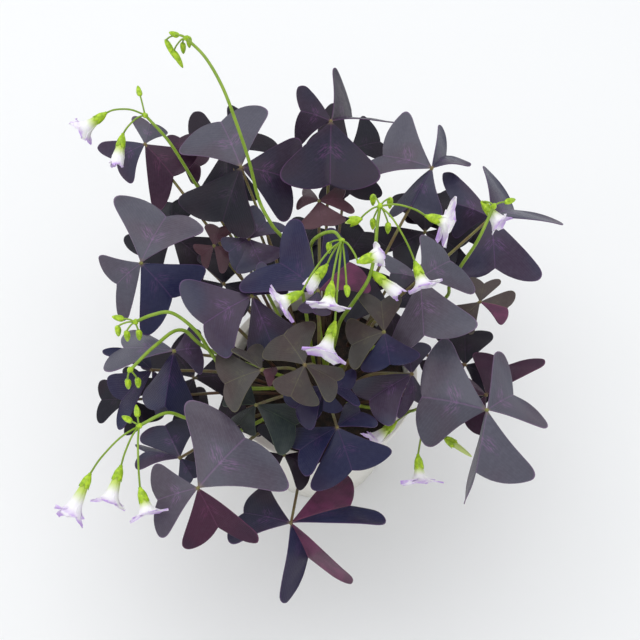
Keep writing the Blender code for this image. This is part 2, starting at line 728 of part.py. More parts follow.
def add_corolla(flower):
    """Funnel of five joined petals with a lobed rim, closed at its base."""
    neck, mouth, axis = flower_ends(flower)
    base = neck + axis * (0.0045 + COROLLA_GAP)
    length = max((mouth - base).length, 0.006)
    side = axis.orthogonal().normalized()
    other = axis.cross(side)
    stations = ((0.0, 0.0017, 0.0), (0.60, 0.0036, 0.05), (1.0, flower.radius / 1000, 0.30))
    sides = 10
    outer = []
    inner = []
    for share, radius, lobing in stations:
        for k in range(sides):
            turn = 2 * math.pi * k / sides
            swell = 1.0 if k % 2 == 0 else 1.0 - lobing
            reach = max(radius * swell, 0.0016)
            drop = share * length * (1.0 if k % 2 == 0 else 1.0 - lobing * 0.35)
            around = side * math.cos(turn) + other * math.sin(turn)
            outer.append(base + axis * drop + around * reach)
            inner.append(base + axis * (drop + 0.0004) + around * (reach - COROLLA_WALL))
    inner = inner[sides:]
    rows = len(stations)
    vertices = outer + inner
    faces = [tuple(reversed(range(sides)))]
    for i in range(rows - 1):
        faces += ring_faces(i * sides, (i + 1) * sides, sides, False)
    shift = rows * sides
    for i in range(rows - 2):
        faces += ring_faces(shift + i * sides, shift + (i + 1) * sides, sides, True)
    faces += ring_faces((rows - 1) * sides, shift + (rows - 2) * sides, sides, False)
    faces.append(tuple(range(shift, shift + sides)))
    thing = new_object(flower.name, vertices, faces, "corolla")
    tidy_mesh(thing)
    return thing


def ring_faces(first, second, sides, inward):
    """Triangles between two rings, split alike wherever they are used."""
    faces = []
    for k in range(sides):
        after = (k + 1) % sides
        a, b, c, d = first + k, first + after, second + after, second + k
        if inward:
            faces += [(a, c, b), (a, d, c)]
        else:
            faces += [(a, b, c), (a, c, d)]
    return faces


def wall_radius(height):
    """Outer radius of the pot's tapered wall."""
    return POT_BASE_RADIUS + (POT_TOP_RADIUS - POT_BASE_RADIUS) * height / POT_HEIGHT


def disc_turned(profile, sides):
    """Closed solid of revolution whose profile starts and ends on the axis."""
    vertices = [Vector((0, 0, profile[0][1])), Vector((0, 0, profile[-1][1]))]
    rings = profile[1:-1]
    faces = []
    for radius, height in rings:
        for k in range(sides):
            turn = 2 * math.pi * k / sides
            vertices.append(Vector((radius * math.cos(turn), radius * math.sin(turn), height)))
    for i in range(len(rings) - 1):
        for k in range(sides):
            after = (k + 1) % sides
            a = 2 + i * sides
            faces.append((a + k, a + after, a + sides + after, a + sides + k))
    last = 2 + (len(rings) - 1) * sides
    for k in range(sides):
        after = (k + 1) % sides
        faces.append((0, 2 + after, 2 + k))
        faces.append((1, last + k, last + after))
    return vertices, faces


def cut(thing, cutters):
    """Cut closed pieces out of a body, one Boolean difference on a collection."""
    group = bpy.data.collections.new(thing.name + "_cutters")
    bpy.context.scene.collection.children.link(group)
    extras = []
    for i, (vertices, faces) in enumerate(cutters):
        extra = new_object("%s_cutter_%d" % (thing.name, i), vertices, faces, "soil")
        bpy.context.scene.collection.objects.unlink(extra)
        group.objects.link(extra)
        extras.append(extra)
    difference = thing.modifiers.new("holes", "BOOLEAN")
    difference.operation = "DIFFERENCE"
    difference.operand_type = "COLLECTION"
    difference.collection = group
    difference.solver = "EXACT"
    bpy.ops.object.select_all(action="DESELECT")
    thing.select_set(True)
    bpy.context.view_layer.objects.active = thing
    bpy.ops.object.modifier_apply(modifier=difference.name)
    for extra in extras:
        mesh = extra.data
        material = mesh.materials[0]
        bpy.data.objects.remove(extra, do_unlink=True)
        bpy.data.meshes.remove(mesh)
        bpy.data.materials.remove(material)
    bpy.data.collections.remove(group)
    tidy_mesh(thing)


def add_pot():
    """Tapered pot with a rolled rim and drain holes round its floor's centre."""
    rim_foot = POT_HEIGHT - RIM_HEIGHT
    profile = [
        (0.0, 0.0),
        (POT_BASE_RADIUS - 0.001, 0.0),
        (POT_BASE_RADIUS, 0.001),
        (wall_radius(rim_foot), rim_foot),
        (wall_radius(rim_foot) + RIM_OVERHANG, rim_foot + 0.001),
        (POT_TOP_RADIUS + RIM_OVERHANG, POT_HEIGHT - 0.001),
        (POT_TOP_RADIUS + RIM_OVERHANG - 0.001, POT_HEIGHT),
        (POT_TOP_RADIUS - POT_WALL + 0.0006, POT_HEIGHT),
        (POT_TOP_RADIUS - POT_WALL, POT_HEIGHT - 0.0006),
        (POT_BASE_RADIUS - POT_WALL, POT_FLOOR),
        (0.0, POT_FLOOR),
    ]
    pot = new_object("pot", *disc_turned(profile, POT_SIDES), "pot")
    drains = []
    for k in range(DRAIN_COUNT):
        turn = 2 * math.pi * (k + 0.5) / DRAIN_COUNT
        centre = Vector((DRAIN_CIRCLE * math.cos(turn), DRAIN_CIRCLE * math.sin(turn), 0.0))
        path = [centre - Vector((0, 0, 0.002)), centre + Vector((0, 0, POT_FLOOR + 0.002))]
        drains.append(tube(path, [DRAIN_RADIUS] * 2, 10))
    cut(pot, drains)
    return pot


def inner_radius(height):
    """Radius of the pot's inside at a height."""
    share = (height - POT_FLOOR) / (POT_HEIGHT - 0.0006 - POT_FLOOR)
    return POT_BASE_RADIUS - POT_WALL + (POT_TOP_RADIUS - POT_BASE_RADIUS) * share


def add_soil(stems):
    """Soil that fills the pot to just under the rim, with a plain hole for each stem."""
    foot = POT_FLOOR + SOIL_GAP
    edge = soil_height(inner_radius(SOIL_LEVEL), 0)
    side = SOIL_GAP + 0.0002
    profile = [(0.0, foot), (inner_radius(foot) - side, foot), (inner_radius(edge) - side, edge)]
    for radius in (0.034, 0.014):
        profile.append((radius, soil_height(radius, 0)))
    profile.append((0.0, soil_height(0, 0)))
    soil = new_object("soil", *disc_turned(profile, POT_SIDES), "soil")
    holes = []
    for path in stems:
        foot_point = path[0]
        top = Vector((foot_point.x, foot_point.y, foot_point.z + STEM_DEPTH + 0.010))
        below = foot_point - Vector((0, 0, 0.0006))
        holes.append(tube([below, top], [SOIL_HOLE_RADIUS] * 2, 4))
    cut(soil, holes)
    return soil


def main():
    clear_scene()
    stems = []
    for name in dict.fromkeys(leaf.name for leaf in LEAVES):
        stems.append(add_leaves(name))
    for spray in SPRAYS:
        stems.append(add_spray(spray))
    add_pot()
    add_soil(stems)


main()
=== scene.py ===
"""Purple shamrock (Oxalis triangularis) in its pot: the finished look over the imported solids.

Leaves, flower stalks, petals, pot and soil are modelled finely on the same places as the
solids that they stand for. Places are picture points with heights in mm, as in the part.
"""

import math
import random
from collections import namedtuple
from functools import partial

import bpy
from bpy.props import FloatProperty, FloatVectorProperty, IntProperty, PointerProperty
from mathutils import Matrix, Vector


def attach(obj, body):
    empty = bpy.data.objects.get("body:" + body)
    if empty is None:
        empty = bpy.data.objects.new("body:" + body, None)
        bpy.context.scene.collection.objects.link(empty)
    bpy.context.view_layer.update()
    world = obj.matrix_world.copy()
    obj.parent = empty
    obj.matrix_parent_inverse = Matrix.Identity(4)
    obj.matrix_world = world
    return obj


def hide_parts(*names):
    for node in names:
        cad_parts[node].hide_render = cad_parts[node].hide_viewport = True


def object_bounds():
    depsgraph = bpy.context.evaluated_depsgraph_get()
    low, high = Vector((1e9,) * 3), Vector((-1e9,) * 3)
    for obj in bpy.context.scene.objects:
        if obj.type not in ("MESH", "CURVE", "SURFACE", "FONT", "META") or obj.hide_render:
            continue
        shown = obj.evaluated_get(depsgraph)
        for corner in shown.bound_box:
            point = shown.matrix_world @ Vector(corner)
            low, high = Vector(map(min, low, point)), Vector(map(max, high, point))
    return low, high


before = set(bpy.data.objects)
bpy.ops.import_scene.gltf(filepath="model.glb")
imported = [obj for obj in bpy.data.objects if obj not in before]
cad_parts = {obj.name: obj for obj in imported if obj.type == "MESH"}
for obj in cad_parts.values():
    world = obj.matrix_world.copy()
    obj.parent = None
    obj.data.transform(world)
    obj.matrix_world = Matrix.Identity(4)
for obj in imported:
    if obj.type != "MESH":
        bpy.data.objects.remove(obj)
CAD_BOX = [list(corner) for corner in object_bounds()]

bl_info = {
    "name": "Purple shamrock",
    "version": (1, 0, 0),
    "blender": (4, 5, 0),
    "location": "View3D > Sidebar > Shamrock",
    "description": "Builds a potted purple shamrock with leaves, flower stalks, pot and soil",
    "category": "Add Mesh",
}

# Photo geometry, as in the part; picture points are pixels of a picture 640 wide and high
VIEW_DOWN = math.radians(60)
VIEW_DISTANCE = 0.700
VIEW_CENTRE = Vector((0.0, 0.0, 0.170))
VIEW_BACK = Vector((0.0, -math.cos(VIEW_DOWN), math.sin(VIEW_DOWN)))
VIEW_UP = Vector((0.0, math.sin(VIEW_DOWN), math.cos(VIEW_DOWN)))
VIEW_EYE = VIEW_CENTRE + VIEW_BACK * VIEW_DISTANCE
PICTURE_MIDDLE = 320
PIXELS_PER_UNIT_SLOPE = 1207
SENSOR_WIDTH_MM = 36.0

# Pot and soil, as in the part, in metres
POT_HEIGHT = 0.104
POT_BASE_RADIUS = 0.043
POT_TOP_RADIUS = 0.058
POT_WALL = 0.0028
POT_FLOOR = 0.0040
POT_CHAMFER = 0.0006
RIM_HEIGHT = 0.014
RIM_OVERHANG = 0.0032
DRAIN_RADIUS = 0.0050
DRAIN_CIRCLE = 0.024
DRAIN_COUNT = 4
SOIL_LEVEL = 0.094
SOIL_DOME = 0.0030
SOIL_GAP = 0.0003
STEM_DEPTH = 0.012
COLLAR_RISE = 0.002

# Leaf and flower forms, as in the part; a lobe's shares are of its midrib's length
ROOT_SPREAD = 0.27
SCAPE_SPREAD = 0.16
SCAPE_TURN = math.radians(10)
PETIOLE_BEND_OUT, PETIOLE_BEND_UP = 0.42, 0.58
PEDICEL_ARCH = 0.18
MIDRIB_ARCH = 0.05
USUAL_FOLD = -12
LOBE_CURL = 0.07
LOBE_TIP = (1.19, 0.76)
LOBE_TURNS = range(-82, 67, 4)
LOBE_REACHES = (0.76, 0.84, 0.92, 1.00, 1.08, 1.16)
LOBE_SWEEPS = (0.84, 0.92, 1.00, 1.08, 1.16, 1.24, 1.32, 1.40)
TURN_COST, REACH_COST, SWEEP_COST = 0.02, 500, 250
HUB_RISE = 0.0008
BUD_LENGTH = 0.0075
BUD_HANG = Vector((0.0, -0.35, -1.0)).normalized()
CLOSED_DROP_MM = 4
COROLLA_START = 0.0045 + 0.00025
THROAT_RADIUS = 0.0033
PETALS = 5

# Finer forms, which only this script has; lengths are in metres
HUB_LENGTH, HUB_RADIUS = 0.0024, 0.00105
UMBEL_LENGTH, UMBEL_RADIUS = 0.0036, 0.0015
RECEPTACLE_LENGTH, RECEPTACLE_RADIUS, RECEPTACLE_RISE = 0.0024, 0.0010, 0.0004
BUD_RADIUS = 0.0016
BUD_OVERLAP = 0.0008
SEPAL_THICKNESS = 0.0003
SEPAL_HALF_ANGLE = math.radians(46)
TUBE_RADIUS = 0.0016
PETAL_LAP = 0.0003
PETAL_REACH = 1.08
PETAL_WIDTH = 0.52
PETAL_FOLD = 0.06
PETAL_TUBE_ROWS = 0.5
PETAL_WIDEST = 0.6
PETAL_HALF_ANGLE = math.radians(40)
SOIL_INSET = 0.0004
SOIL_TOP_ROWS, SOIL_SIDE_ROWS = 0.80, 0.94
LUMP_COUNT = 260
LUMP_SPREAD = 0.055
MERGE_DISTANCE = 0.00002
SQUEEZE_BAND = 0.015
SQUEEZE_CLEARANCE = 0.00003

# Half outline of a leaflet, along and across the midrib, in midrib lengths
HALF_OUTLINE = (
    (0.00, 0.000), (0.25, 0.215), (0.50, 0.432), (0.75, 0.655), (0.95, 0.815), (1.08, 0.850),
    (1.175, 0.785), (1.215, 0.640), (1.205, 0.430), (1.125, 0.190), (1.00, 0.000),
)
# Midrib lengths that a leaflet's UV map spans
UV_ACROSS = 2.4
UV_ALONG = 1.5
# Veins: how far they lean along the midrib, and their phase for each midrib length
VEIN_SLANT = 0.95
VEIN_RATE = 52.0
SMOOTH = {"interpolation_type": "SMOOTHSTEP"}

Leaf = namedtuple("Leaf", "name hub height leaflets root")
Leaflet = namedtuple("Leaflet", "notch rise left right fold", defaults=(USUAL_FOLD,))
Spray = namedtuple("Spray", "name stalk buds flowers root", defaults=((), (), None))
Flower = namedtuple("Flower", "name neck height mouth drop radius")


def leaf(name, hub, height, *rows, root=None):
    """One leaf: its hub's picture point and height in mm, and a row for each leaflet.

    A row holds the notch's picture point, its rise over the hub in mm, the picture points of the
    tips of the left and the right lobe, and the fold's angle where it isn't the usual one.
    """
    return Leaf(name, hub, height, [Leaflet(*row) for row in rows], root)


# Hubs and leaflets as the photo shows them; heights in mm above the table.
LEAVES = (
    leaf("leaf_back_left", (145, 144), 196, ((150, 124), 2, (133, 115), (167, 132)),
         ((117, 160), -8, (128, 180), (96, 147)), ((173, 176), -10, (191, 149), (160, 212), -40)),
    leaf("leaf_back_mid", (241, 167), 205, ((221, 122), 0, (182, 144), (261, 103)),
         ((288, 178), -8, (302, 141), (290, 219)), ((223, 221), -14, (245, 237), (183, 200))),
    leaf("leaf_back_centre", (331, 121), 208, ((301, 111), -4, (297, 144), (296, 86)),
         ((352, 118), -22, (339, 64), (394, 120), 20), ((330, 184), -6, (372, 182), (288, 180))),
    leaf("leaf_small_brown", (319, 201), 190, ((342, 199), 0, (345, 185), (356, 209)),
         ((303, 196), -5, (299, 205), (300, 188)), ((323, 225), -4, (346, 219), (300, 227))),
    leaf("leaf_back_right", (432, 168), 200, ((383, 156), -6, (363, 170), (400, 112)),
         ((446, 156), -14, (446, 128), (456, 160), 20), ((412, 205), -12, (437, 213), (389, 218))),
    leaf("leaf_right", (491, 217), 192, ((453, 203), -5, (458, 236), (438, 172)),
         ((514, 210), -20, (488, 166), (564, 221), 20), ((495, 268), -12, (539, 279), (464, 276))),
    leaf("leaf_mid_right", (420, 278), 218, ((450, 261), -4, (404, 222), (480, 293)),
         ((424, 335), -10, (474, 326), (396, 350)), ((391, 273), -6, (397, 288), (372, 256))),
    leaf("leaf_olive_small", (384, 332), 208, ((352, 345), -7, (350, 366), (348, 321)),
         ((381, 302), 2, (364, 292), (397, 292)), ((390, 364), -8, (418, 352), (364, 370))),
    leaf("leaf_front_right_inner", (412, 374), 184, ((370, 400), -8, (388, 420), (353, 384)),
         ((407, 347), -3, (388, 340), (428, 344)), ((414, 400), -10, (424, 404), (403, 420))),
    leaf("leaf_front_right", (487, 410), 194, ((422, 397), -8, (426, 442), (437, 341)),
         ((513, 395), -12, (500, 343), (552, 428), 20), ((476, 472), -14, (538, 450), (462, 504), -30)),
    leaf("leaf_right_low", (486, 395), 162, ((507, 366), -2, (478, 352), (543, 356)),
         ((465, 422), -6, (482, 434), (452, 426)), ((460, 382), -3, (450, 394), (452, 370))),
    leaf("leaf_front", (291, 523), 152, ((350, 506), -10, (349, 475), (387, 516), 15),
         ((308, 557), -24, (347, 602), (288, 607), 10), ((244, 513), -6, (227, 536), (258, 488))),
    leaf("leaf_front_left", (198, 488), 186, ((245, 438), -4, (193, 398), (289, 481)),
         ((158, 500), -8, (158, 536), (152, 468)), ((218, 527), -13, (256, 547), (188, 549))),
    leaf("leaf_left_front_under", (180, 458), 158, ((165, 426), -3, (142, 434), (192, 418)),
         ((146, 452), -6, (140, 462), (119, 445)), ((193, 478), -8, (204, 470), (184, 487))),
    leaf("leaf_left", (174, 351), 188, ((124, 348), -7, (103, 366), (128, 330)),
         ((200, 348), -4, (186, 321), (200, 375)), ((165, 406), -12, (190, 418), (144, 400))),
    leaf("leaf_left_under", (152, 370), 158, ((122, 400), -8, (116, 427), (108, 380)),
         ((170, 402), -8, (186, 402), (160, 416)), ((130, 350), -2, (104, 347), (135, 334))),
    leaf("leaf_upper_left", (141, 263), 200, ((166, 217), -2, (122, 194), (200, 223)),
         ((117, 284), -10, (126, 330), (90, 241)), ((172, 298), -13, (208, 274), (150, 338))),
    leaf("leaf_mid_left", (252, 296), 214, ((204, 324), -8, (222, 354), (180, 286)),
         ((272, 345), -12, (296, 336), (254, 367)), ((271, 277), 2, (262, 262), (288, 288)), root=(-11, 0)),
    leaf("leaf_mid", (318, 291), 228, ((280, 263), -6, (238, 282), (290, 217)),
         ((349, 262), 0, (334, 226), (367, 285), 14), ((313, 312), -3, (327, 312), (301, 310))),
    leaf("leaf_mid_small", (249, 239), 188, ((261, 264), -6, (281, 248), (239, 272)),
         ((229, 252), -5, (236, 272), (220, 240)), ((266, 222), 0, (254, 203), (286, 224)), root=(-9, 16)),
    leaf("leaf_olive_left", (262, 370), 204, ((225, 384), -8, (231, 408), (216, 353)),
         ((274, 376), -3, (276, 368), (270, 386)), ((247, 352), -1, (236, 346), (258, 344)), root=(-3, -10)),
    leaf("leaf_centre_left_low", (256, 405), 182, ((295, 425), -7, (307, 409), (286, 452)),
         ((240, 424), -7, (250, 434), (230, 424)), ((236, 392), -3, (224, 400), (242, 378)), root=(-4, -20)),
    leaf("leaf_olive_centre", (305, 365), 222, ((284, 335), -2, (264, 350), (309, 320)),
         ((291, 396), -9, (314, 405), (274, 385)), ((336, 381), -6, (345, 372), (334, 400)), root=(1, -12)),
    leaf("leaf_centre_dark", (325, 385), 196, ((296, 408), -6, (305, 428), (282, 396)),
         ((350, 390), -4, (356, 370), (362, 402)), ((323, 410), -9, (340, 410), (316, 430)), root=(6, -15)),
    leaf("leaf_front_mid", (337, 427), 178, ((300, 450), -6, (301, 474), (283, 436)),
         ((352, 470), -10, (391, 454), (316, 491)), ((360, 412), -2, (350, 402), (376, 420))),
    leaf("leaf_right_small", (480, 302), 176, ((507, 308), 0, (516, 296), (501, 323), 25),
         ((463, 318), -5, (468, 334), (452, 310)), ((484, 284), 1, (474, 276), (496, 276))),
    leaf("leaf_back_inner", (178, 154), 178, ((200, 166), -2, (210, 155), (198, 182)),
         ((158, 160), -4, (158, 172), (150, 152)), ((180, 138), 0, (170, 134), (192, 132))),
    leaf("leaf_young_left", (214, 246), 174, ((219, 228), 2, (208, 223), (232, 225)),
         ((229, 258), -2, (238, 249), (226, 273)), ((201, 255), -2, (205, 270), (192, 245))),
    leaf("filler_back_a", (225, 150), 150, ((190, 138), -4, (176, 158), (192, 110)),
         ((256, 133), -4, (234, 104), (280, 146)), ((228, 190), -7, (256, 200), (200, 204))),
    leaf("filler_back_b", (350, 150), 152, ((318, 132), -4, (304, 154), (330, 102)),
         ((380, 142), -4, (366, 116), (396, 162)), ((350, 194), -7, (378, 196), (322, 200))),
    leaf("filler_right_a", (450, 235), 148, ((430, 205), -2, (408, 214), (452, 188)),
         ((488, 226), -4, (482, 200), (502, 250)), ((446, 270), -7, (474, 274), (424, 282))),
    leaf("filler_left_a", (172, 235), 150, ((172, 203), -2, (150, 208), (196, 196)),
         ((142, 256), -6, (152, 282), (122, 240)), ((204, 262), -6, (222, 244), (198, 290))),
    leaf("filler_left_b", (212, 425), 124, ((186, 404), -3, (174, 420), (196, 386)),
         ((246, 412), -3, (232, 388), (262, 430)), ((212, 462), -7, (240, 468), (186, 468))),
    leaf("filler_back_b", (345, 262), 130, ((364, 232), -4, (342, 215), (392, 241)),
         ((307, 262), -4, (301, 288), (301, 236)), ((364, 292), -4, (392, 283), (342, 309))),
    leaf("filler_right_a", (425, 232), 155, ((425, 199), -4, (397, 193), (453, 193)),
         ((393, 249), -4, (402, 273), (374, 230)), ((457, 249), -4, (476, 230), (448, 273))),
    leaf("filler_left_a", (224, 284), 160, ((224, 257), -4, (201, 253), (247, 253)),
         ((198, 298), -4, (205, 317), (183, 282)), ((250, 298), -4, (265, 282), (243, 317))),
    leaf("filler_left_b", (194, 378), 124, ((234, 375), -4, (237, 347), (243, 401)),
         ((171, 349), -4, (143, 359), (192, 328)), ((177, 411), -4, (202, 427), (147, 404))),
    leaf("filler_back_b", (300, 250), 131, ((314, 228), -4, (298, 215), (334, 234)),
         ((272, 250), -4, (268, 269), (268, 231)), ((314, 272), -4, (334, 266), (298, 285))),
    leaf("filler_right_a", (390, 308), 174, ((416, 289), -4, (404, 269), (435, 304)),
         ((359, 297), -4, (345, 317), (363, 275)), ((395, 337), -4, (420, 338), (371, 345))),
    leaf("filler_left_b", (284, 455), 158, ((284, 428), -4, (261, 424), (307, 424)),
         ((258, 468), -4, (265, 488), (243, 453)), ((310, 468), -4, (325, 453), (303, 488))),
    leaf("filler_right_a", (465, 365), 146, ((465, 335), -4, (440, 331), (490, 331)),
         ((436, 380), -4, (444, 402), (420, 363)), ((494, 380), -4, (510, 363), (486, 402))),
    leaf("filler_left_b", (130, 400), 132, ((144, 378), -4, (128, 365), (164, 384)),
         ((102, 400), -4, (98, 419), (98, 381)), ((144, 422), -4, (164, 416), (128, 435))),
)

# Flower stalks as picture points with heights in mm, from the soil upwards, with their buds and
# flowers. A bud has a second picture point where it is a closed flower: that of its tip.
SPRAYS = (
    Spray("spray_back",
          stalk=((296, 262, 172), (272, 225, 202), (259, 200, 212), (249, 161, 234), (236, 122, 252),
                 (222, 86, 264), (205, 57, 270), (186, 38, 270)),
          buds=((171, 50, 258, 177, 61), (178, 59, 256, 183, 68), (183, 48, 258), (189, 42, 262),
                (174, 34, 268))),
    Spray("spray_back_left",
          stalk=((236, 236, 156), (214, 210, 174), (197, 186, 188), (170, 143, 222), (145, 115, 234)),
          buds=((139, 91, 236),),
          flowers=(Flower("corolla_back_left_a", (106, 113), 232, (78, 134), 10, 8.5),
                   Flower("corolla_back_left_b", (123, 134), 228, (115, 171), 10, 4.0))),
    Spray("spray_left",
          stalk=((246, 388, 156), (227, 375, 174), (211, 353, 196), (196, 331, 222), (172, 313, 236),
                 (152, 315, 237), (135, 322, 232)),
          buds=((118, 318, 230), (118, 331, 228), (127, 336, 227), (139, 335, 226))),
    Spray("spray_left_low",
          stalk=((214, 352, 176), (182, 330, 206), (156, 345, 218), (130, 370, 218)),
          buds=((128, 384, 210), (138, 383, 210))),
    Spray("spray_front_left",
          stalk=((236, 432, 138), (205, 422, 162), (186, 418, 184), (166, 413, 198), (139, 426, 200)),
          buds=((137, 411, 200), (127, 419, 198)),
          flowers=(Flower("corolla_front_left_a", (90, 474), 192, (66, 524), 8, 8.5),
                   Flower("corolla_front_left_b", (121, 466), 192, (106, 512), 8, 9.0),
                   Flower("corolla_front_left_c", (140, 488), 190, (150, 520), 6, 10.0)),
          root=(-7, -12)),
    Spray("spray_right_inner",
          stalk=((334, 345, 150), (340, 322, 188), (353, 303, 222), (369, 278, 238), (375, 250, 248),
                 (377, 228, 253), (380, 206, 256)),
          buds=((373, 200, 252), (390, 203, 252), (373, 224, 248), (388, 228, 247),
                (353, 221, 246, 345, 223)),
          flowers=(Flower("corolla_right_a", (426, 216), 250, (452, 224), 4, 13.5),
                   Flower("corolla_right_b", (415, 262), 240, (426, 292), 6, 9.5),
                   Flower("corolla_right_c", (372, 272), 240, (405, 299), 8, 3.5))),
    Spray("spray_mid",
          stalk=((312, 262, 190), (311, 245, 224), (320, 235, 242), (334, 232, 249), (342, 241, 250)),
          buds=((329, 248, 242), (347, 291, 250)),
          flowers=(Flower("corolla_mid_a", (358, 262), 260, (384, 253), 2, 6.5),
                   Flower("corolla_mid_b", (332, 282), 260, (327, 311), 6, 11.0),
                   Flower("corolla_mid_c", (302, 292), 246, (276, 306), 4, 11.0),
                   Flower("corolla_mid_d", (335, 322), 242, (322, 360), 6, 11.5),
                   Flower("corolla_mid_e", (327, 265), 248, (304, 293), 6, 3.5)),
          root=(3, 5)),
    Spray("spray_front_right",
          stalk=((384, 410, 112), (406, 412, 130), (426, 406, 148)),
          buds=((458, 447, 144, 472, 457),),
          flowers=(Flower("corolla_front_right_a", (396, 422), 150, (368, 446), 4, 8.0),
                   Flower("corolla_front_right_b", (418, 455), 148, (421, 488), 6, 12.0)),
          root=(17, -19)),
    Spray("spray_far_right",
          stalk=((436, 306, 158), (450, 285, 182), (461, 266, 204), (478, 240, 224), (494, 206, 234)),
          buds=((510, 201, 232),),
          flowers=(Flower("corolla_far_right", (482, 202), 230, (504, 228), 5, 7.0),)),
)

# Upper side of each leaf that isn't of the usual violet. The silver tone is a painted sheen: a lighter copy
# of the violet for leaves that face the light. The blue and plum tones are painted shade: darker copies for
# leaves that turn from the light. The dark tone is painted shade on the filler leaves low in the tuft
LEAF_TONES = {name: tone for tone, names in (
    ("silver", "leaf_upper_left leaf_front_left leaf_front_right leaf_mid_right"),
    ("olive", "leaf_olive_small leaf_olive_left leaf_olive_centre leaf_right_small"),
    ("green", "leaf_centre_left_low"),
    ("brown", "leaf_small_brown leaf_young_left"),
    ("blue", "leaf_centre_dark leaf_front_mid leaf_front leaf_left_under leaf_mid"),
    ("maroon", "leaf_back_inner leaf_right_low"),
    ("plum", "leaf_back_centre leaf_back_mid"),
    ("dark", "filler_back_a filler_back_b filler_right_a filler_left_a filler_left_b"),
) for name in names.split()}

# Leaflets of another tone than their leaf's; the silver ones have a painted sheen, and the blue and dark ones
# painted shade
BLADE_TONES = {
    ("leaf_olive_small", 2): "blue",
    ("leaf_back_mid", 0): "silver",
    ("leaf_back_right", 0): "silver",
    ("leaf_back_mid", 2): "dark",
    ("leaf_back_left", 0): "silver",
    ("leaf_back_left", 2): "maroon",
    ("leaf_left", 0): "silver",
    ("leaf_left", 2): "blue",
    ("leaf_front", 2): "violet",
    ("leaf_mid", 2): "violet",
    ("leaf_olive_left", 1): "brown",
    ("leaf_upper_left", 2): "blue",
    ("leaf_front_left", 2): "maroon",
}

# Buds that are white already
CLOSED_FLOWERS = {("spray_front_right", 0), ("spray_right_inner", 4)}

# Halves of leaflets that are curled over and show their underside: 0 is the left, 1 the right
TURNED_HALVES = {
    ("leaf_front", 0): (0,),
    ("leaf_front", 1): (0,),
    ("leaf_mid", 1): (1,),
    ("leaf_right_small", 0): (1,),
}


# Places


def picture_to_world(point, height_mm):
    """World place of a picture point at a height above the table."""
    across = (point[0] - PICTURE_MIDDLE) / PIXELS_PER_UNIT_SLOPE
    rise = (PICTURE_MIDDLE - point[1]) / PIXELS_PER_UNIT_SLOPE
    ray = Vector((1.0, 0.0, 0.0)) * across + VIEW_UP * rise - VIEW_BACK
    return VIEW_EYE + ray * ((height_mm / 1000 - VIEW_EYE.z) / ray.z)


def world_to_picture(place):
    """Picture point at which a world place is seen."""
    offset = Vector(place) - VIEW_EYE
    depth = -offset.dot(VIEW_BACK)
    across = offset.x / depth * PIXELS_PER_UNIT_SLOPE
    rise = offset.dot(VIEW_UP) / depth * PIXELS_PER_UNIT_SLOPE
    return (PICTURE_MIDDLE + across, PICTURE_MIDDLE - rise)


def smooth_point(before, start, end, after, t):
    """Point of a Catmull-Rom curve at a share of the way from start to end."""
    return 0.5 * (2 * start + (end - before) * t
                  + (2 * before - 5 * start + 4 * end - after) * t * t
                  + (3 * start - before - 3 * end + after) * t ** 3)


def smooth_path(points, steps):
    """Points along a Catmull-Rom curve through the given points."""
    padded = [points[0] * 2 - points[1]] + list(points) + [points[-1] * 2 - points[-2]]
    path = []
    for i in range(len(points) - 1):
        path += [smooth_point(*padded[i:i + 4], k / steps) for k in range(steps)]
    return path + [points[-1].copy()]


def round_axis(axis, angle):
    """Unit vector square to an axis, at an angle round it."""
    side = axis.orthogonal().normalized()
    return side * math.cos(angle) + axis.cross(side) * math.sin(angle)


def soil_height(x, y):
    """Height of the soil's gently domed surface."""
    radius = math.hypot(x, y)
    return SOIL_LEVEL + SOIL_DOME * (1 - (radius / POT_TOP_RADIUS) ** 2)


def stem_root(top, given):
    """Place in the soil that a leaf's stem grows from."""
    if given is not None:
        return Vector((given[0] / 1000, given[1] / 1000, 0.0))
    return Vector((top.x * ROOT_SPREAD, top.y * ROOT_SPREAD, 0.0))


def stem_foot(root):
    """Lowest places of a stem: under the soil's surface, and at its collar just above it."""
    ground = soil_height(root.x, root.y)
    return Vector((root.x, root.y, ground - STEM_DEPTH)), Vector((root.x, root.y, ground + COLLAR_RISE))


def petiole_path(hub, root, steps):
    """Curve of a petiole from under the soil's surface to the hub."""
    start, collar = stem_foot(root)
    out = Vector((hub.x - root.x, hub.y - root.y, 0.0))
    rise = hub.z - collar.z
    bend = collar + out * PETIOLE_BEND_OUT + Vector((0, 0, rise * PETIOLE_BEND_UP))
    top = hub + (hub - bend).normalized() * HUB_RISE
    return [start] + smooth_path([collar, bend, top], steps)


def spray_path(spray, steps):
    """Curve of a scape from under the soil's surface to its umbel."""
    points = [picture_to_world(p[:2], p[2]) for p in spray.stalk]
    if spray.root is None:
        near = Vector((points[0].x, points[0].y)) * SCAPE_SPREAD
        cos, sin = math.cos(SCAPE_TURN), math.sin(SCAPE_TURN)
        root = Vector((near.x * cos - near.y * sin, near.x * sin + near.y * cos, 0.0))
    else:
        root = Vector((spray.root[0] / 1000, spray.root[1] / 1000, 0.0))
    start, collar = stem_foot(root)
    return [start] + smooth_path([collar] + points, steps)


def pedicel_path(umbel, end, steps):
    """Arched curve of a pedicel from the umbel to its bud or calyx."""
    span = end - umbel
    lift = Vector((0, 0, PEDICEL_ARCH * span.length))
    return smooth_path([umbel, umbel + span * 0.35 + lift, umbel + span * 0.75 + lift * 0.8, end], steps)


def bud_ends(umbel, bud):
    """Centre, direction and length of a bud; one with a tip of its own is a closed flower."""
    centre = picture_to_world(bud[:2], bud[2])
    if len(bud) > 3:
        tip = picture_to_world(bud[3:5], bud[2] - CLOSED_DROP_MM)
        return centre, (tip - centre).normalized(), 2 * (tip - centre).length
    upright = centre.z > umbel.z - 0.003
    return centre, (centre - umbel).normalized() if upright else BUD_HANG, BUD_LENGTH


